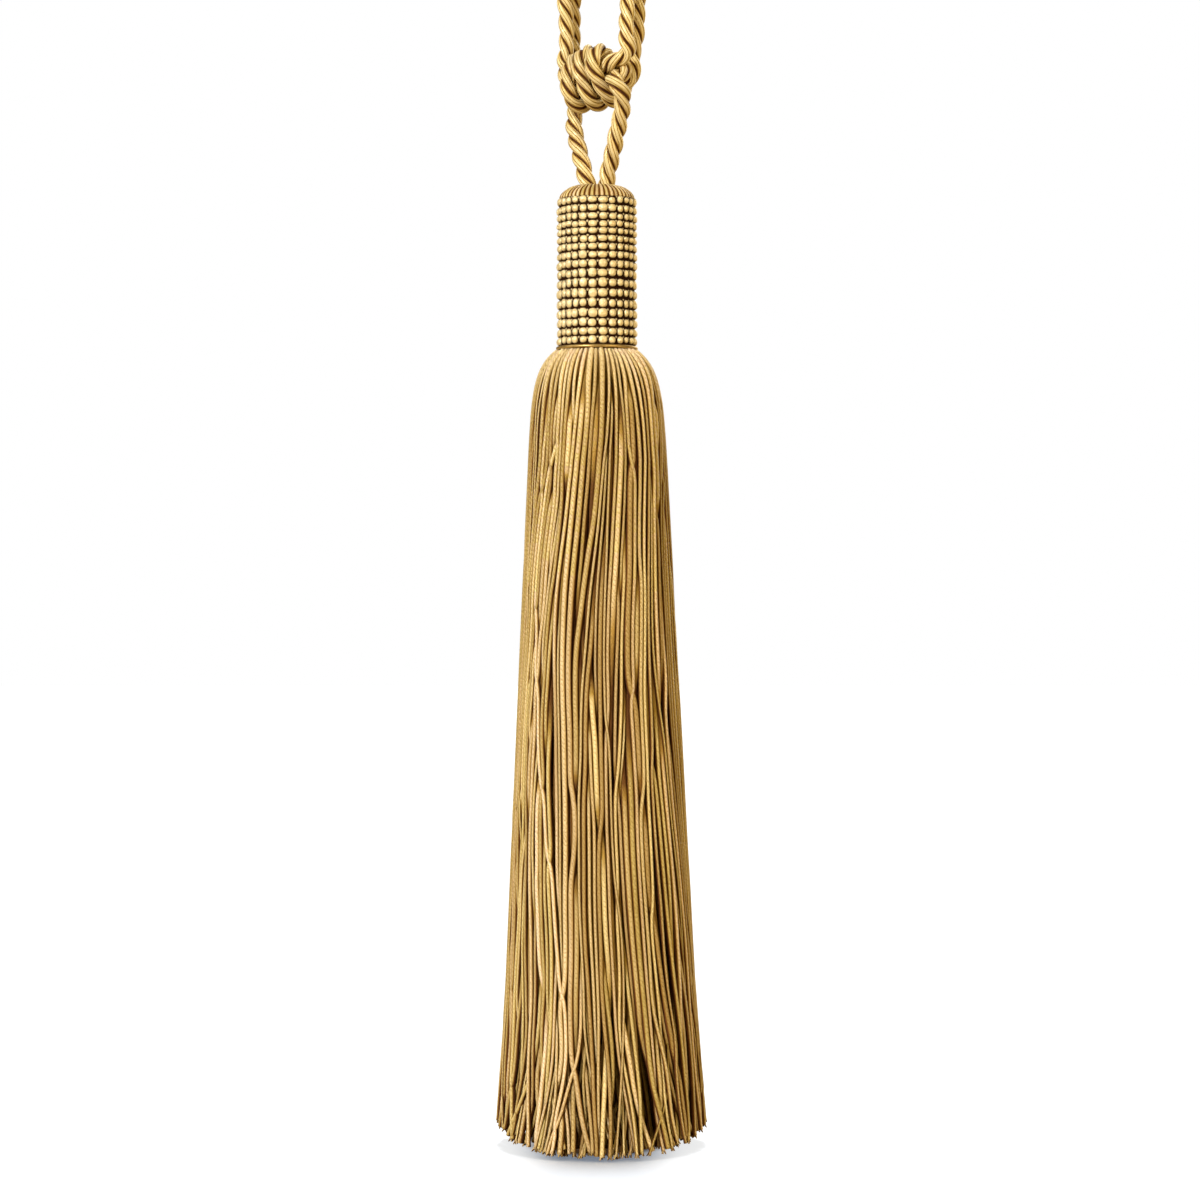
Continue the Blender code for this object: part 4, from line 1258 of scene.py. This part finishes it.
def strandLines(at, drops, size, ring, angle, draw):
    # each strand's points end at its own cut, with the yarn closing to a blunt tip
    lines, columns = [], {}
    total = len(at)
    pressed = strandTone["pressed"] + strandTone["pressedSpread"] * draw.random(total)
    tone = strandTone["middle"] + strandTone["wave"] * np.sin(strandTone["waves"] * angle + ring)
    tone = np.clip(tone + strandTone["spread"] * draw.normal(size=total), 0, 1)
    first, last = cutEnds["middleRings"]
    shorter = np.abs(draw.normal(size=total)) * np.where((ring > first) & (ring < last), *cutEnds["uneven"])
    for n in range(total):
        # the hem is cut so that it rises a little to both sides
        out = np.hypot(*at[n, -3])
        side = abs(at[n, -3, 0]) / out * min(1.0, out / cutEnds["sideFrom"])
        length = skirt["deepest"] - shorter[n] - cutEnds["sideRise"] * side ** cutEnds["sidePower"]
        keep = drops[drops < length - cutEnds["clear"]]
        if ring[n] > cutEnds["coarsePast"]:
            keep = keep[::2]
        every = np.r_[keep, length - np.array(cutEnds["tip"])]
        drift = skirt["drift"] * every / skirt["deepest"]
        x = np.interp(every, drops, at[n, :, 0])
        y = np.interp(every, drops, at[n, :, 1])
        line = np.stack([x + drift, y, skirt["top"] - every], 1)
        width = size[n] * yarnRadius(every) / (skirt["yarn"] / 2)
        width[-3:] *= cutEnds["tipWide"]
        width[0] = 0.0
        # painted light makes the strands pale at the neck, and painted shade a little deeper under the bulge
        bulge = np.exp(-((every - strandTone["bulgeAt"]) / strandTone["bulgeReach"]) ** 2)
        lighter = strandTone["neckPaintedLight"] * np.exp(-every / strandTone["neckReach"])
        lighter -= strandTone["bulgePaintedShade"] * bulge
        # painted shade on strands that lie deep in the skirt, less of it near their cut ends
        inside = skirtRadius(every) - np.hypot(x, y) - skirt["yarn"] / 2
        shade = ramp(inside, *strandTone["hidden"])
        shade *= np.clip((length - every) / strandTone["hemLight"], strandTone["hemShade"], 1)
        shade *= np.clip(every / strandTone["partOver"] - strandTone["shadeLate"], 0, 1)
        # the painted shade in some joins is only a soft line, above all where the strands are pressed
        # together at the neck
        opened = pressed[n] * np.clip(strandTone["partAt"] + every / strandTone["partOver"], 0, 1)
        lines.append(line)
        # each run starts further on, so that no two strands have the same marks
        addRow(columns, run=(every + 7.0 * n) * mm, size=width, tone=np.clip(tone[n] + lighter, 0, 1),
               shade=shade, open=opened, core=line * (0, 0, mm))
    return lines, columns


def frayLines(lines, tones, ring, draw):
    # some cut ends open into four fine yarns
    loose, columns = [], {}
    least, more = frays["spread"]
    along, out, outSpread = (np.array(frays[part]) for part in ("along", "out", "outSpread"))
    for n, line in enumerate(lines):
        if ring[n] > cutEnds["coarsePast"] or draw.random() > frays["share"]:
            continue
        end = line[-1]
        ahead = (end - line[-5]) / np.linalg.norm(end - line[-5])
        start = draw.random() * fullTurn
        for k in range(frays["yarns"]):
            turn = start + k * fullTurn / frays["yarns"] + frays["untidy"] * draw.normal()
            way = np.array([math.cos(turn), math.sin(turn), 0.0])
            spread = least + more * draw.random()
            steps = along + frays["longer"] * draw.random()
            side = out + outSpread * spread
            yarn = end + steps[:, None] * ahead + side[:, None] * way
            tone = min(1.0, tones[n][-1] + frays["paler"])
            loose.append(yarn)
            addRow(columns, run=(steps + 3.0 * k + n) * mm, size=frays["widths"], tone=0 * steps + tone,
                   shade=0 * steps, open=0 * steps + frays["open"],
                   core=(end * (1, 1, 0) + (0, 0, 1) * yarn) * mm)
    return loose, columns


def keepStrands(name, lines, columns, width, sides, finish):
    mesh = lineMesh(name, lines, [None] * len(lines), columns)
    piece = bakeTree(name, mesh, trees["sweep"], {"Width": width * mm, "Sides": sides, "Finish": finish})
    standFor(piece, "skirt")
    say(f"{name}: {len(lines)} strands, {len(piece.data.loop_triangles)} triangles")


def buildSkirt():
    at, drops, size, ring, angle, draw = layStrands()
    lines, columns = strandLines(at, drops, size, ring, angle, draw)
    finish = silkMaterial("skirtSilk", strandSilk)
    for name, rings, sides in skirtLayers:
        pick = [n for n in range(len(lines)) if ring[n] in rings]
        picked = {label: [values[n] for n in pick] for label, values in columns.items()}
        keepStrands(name, [lines[n] for n in pick], picked, skirt["yarn"], sides, finish)
    loose, columns = frayLines(lines, columns["tone"], ring, draw)
    keepStrands("skirt_cut_ends", loose, columns, frays["width"], frays["sides"], finish)


# the floor, the lights and what surrounds them

studio = {
    "floor": -0.3992, "floorHalf": 6.0, "bounce": (0.42, 0.30, 0.135, 1.0),
    "sky": 0.25, "skyTint": (1.0, 0.79, 0.38, 1.0), "gloss": 0.08,
    # white and glow are the floor's seen colour and the painted light that lifts its shadow, more of it to
    # the sides
    "white": (0.90, 0.905, 0.93, 1.0), "glow": (0.165, 0.200, 0.255, 1.0),
    "aside": (0.010, 0.030), "whiteAside": (0.42, 0.425, 0.44, 1.0), "glowAside": (0.75, 0.76, 0.77, 1.0),
    "under": (0.017, 0.026), "paintedShadeUnderSkirt": (0.030, 0.014, 0.003, 1.0),
    # name, where it shines from, strength, spread in degrees, colour, and whether it lights the tassel
    "lamps": (("key", (-0.72, -1.0, 0.50), 3.20, 10.0, (1.0, 0.985, 0.95), True),
              ("rim", (-1.0, -0.15, 0.35), 0.5, 15.0, (1.0, 0.96, 0.86), True),
              ("fill", (0.8, -0.8, 0.13), 1.8, 40.0, (1.0, 0.83, 0.50), True),
              ("back", (0.4, 1.0, 0.5), 1.8, 60.0, (1.0, 0.92, 0.76), True),
              ("dome", (0.0, 0.0, 1.0), 0.8, 170.0, (0.90, 1.0, 1.10), False),
              ("top", (0.0, 0.14, 1.0), 2.1, 10.0, (0.95, 1.0, 1.08), False)),
}


def buildFloor():
    half = studio["floorHalf"]
    mesh = bpy.data.meshes.new("floor")
    corners = [(-half, -half), (half, -half), (half, half), (-half, half)]
    mesh.from_pydata([(x, y, studio["floor"]) for x, y in corners], [], [(0, 1, 2, 3)])
    # the camera sees the floor white, but it bounces only a dim warm colour onto the tassel, and a glow that
    # only the camera sees, painted light, lifts its shadow
    finish, tree, shader = newMaterial("paleFloor", {
        "Roughness": 0.9, "Specular IOR Level": 0.1, "Emission Strength": 1.0})
    seen = step(tree, "ShaderNodeLightPath", "Is Camera Ray", {})
    # to both sides a stronger glow lightens the shadow: painted light
    x, y, _ = separate(tree, objectPlace(tree))
    aside = remap(tree, sums(tree, "ABSOLUTE", x), *studio["aside"], 0.0, 1.0, True)
    white = blendColour(tree, aside, studio["white"], studio["whiteAside"])
    glow = blendColour(tree, aside, studio["glow"], studio["glowAside"])
    # right under the skirt the glow gives way to painted shade, a dark brown
    under = remap(tree, fromMiddle(tree, x, y), *studio["under"], 1.0, 0.0, True)
    glow = blendColour(tree, under, glow, studio["paintedShadeUnderSkirt"])
    feed(tree, shader.inputs["Base Color"], blendColour(tree, seen, studio["bounce"], white))
    feed(tree, shader.inputs["Emission Color"], blendColour(tree, seen, (0.0, 0.0, 0.0, 1.0), glow))
    mesh.materials.append(finish)
    floor = putInScene("floor", mesh)
    return floor


def buildLamps(floor):
    onTassel = bpy.data.collections.new("litByLamps")
    for item in bpy.data.objects:
        if item.type == "MESH" and item != floor:
            onTassel.objects.link(item)
    onFloor = bpy.data.collections.new("litFromAbove")
    onFloor.objects.link(floor)
    for name, toward, strength, spread, colour, forTassel in studio["lamps"]:
        data = bpy.data.lights.new(name, "SUN")
        data.energy = strength
        data.angle = math.radians(spread)
        data.color = colour
        lamp = putInScene(name, data)
        direction = np.array(toward) / np.linalg.norm(toward)
        lamp.rotation_euler = (math.acos(direction[2]), 0, math.atan2(direction[0], -direction[1]))
        lamp.light_linking.receiver_collection = onTassel if forTassel else onFloor


def buildSurroundings():
    scene = bpy.context.scene
    scene.world = bpy.data.worlds.new("studio")
    scene.world.use_nodes = True
    tree = scene.world.node_tree
    back = tree.nodes["Background"]
    path = addNode(tree, "ShaderNodeLightPath").outputs
    seen = path["Is Camera Ray"]
    feed(tree, back.inputs["Color"], blendColour(tree, seen, studio["skyTint"], (1.0, 1.0, 1.0, 1.0)))
    # the silk mirrors little of the pale surroundings
    dim = remap(tree, path["Is Glossy Ray"], 0.0, 1.0, studio["sky"], studio["gloss"])
    feed(tree, back.inputs["Strength"], sums(tree, "MAXIMUM", dim, seen))
    scene.view_settings.view_transform = "Standard"
    scene.view_settings.look = "None"


placeCamera()
buildCords()
buildHead()
buildSkirt()
buildLamps(buildFloor())
buildSurroundings()

bpy.context.view_layer.update()
say("sizes written")
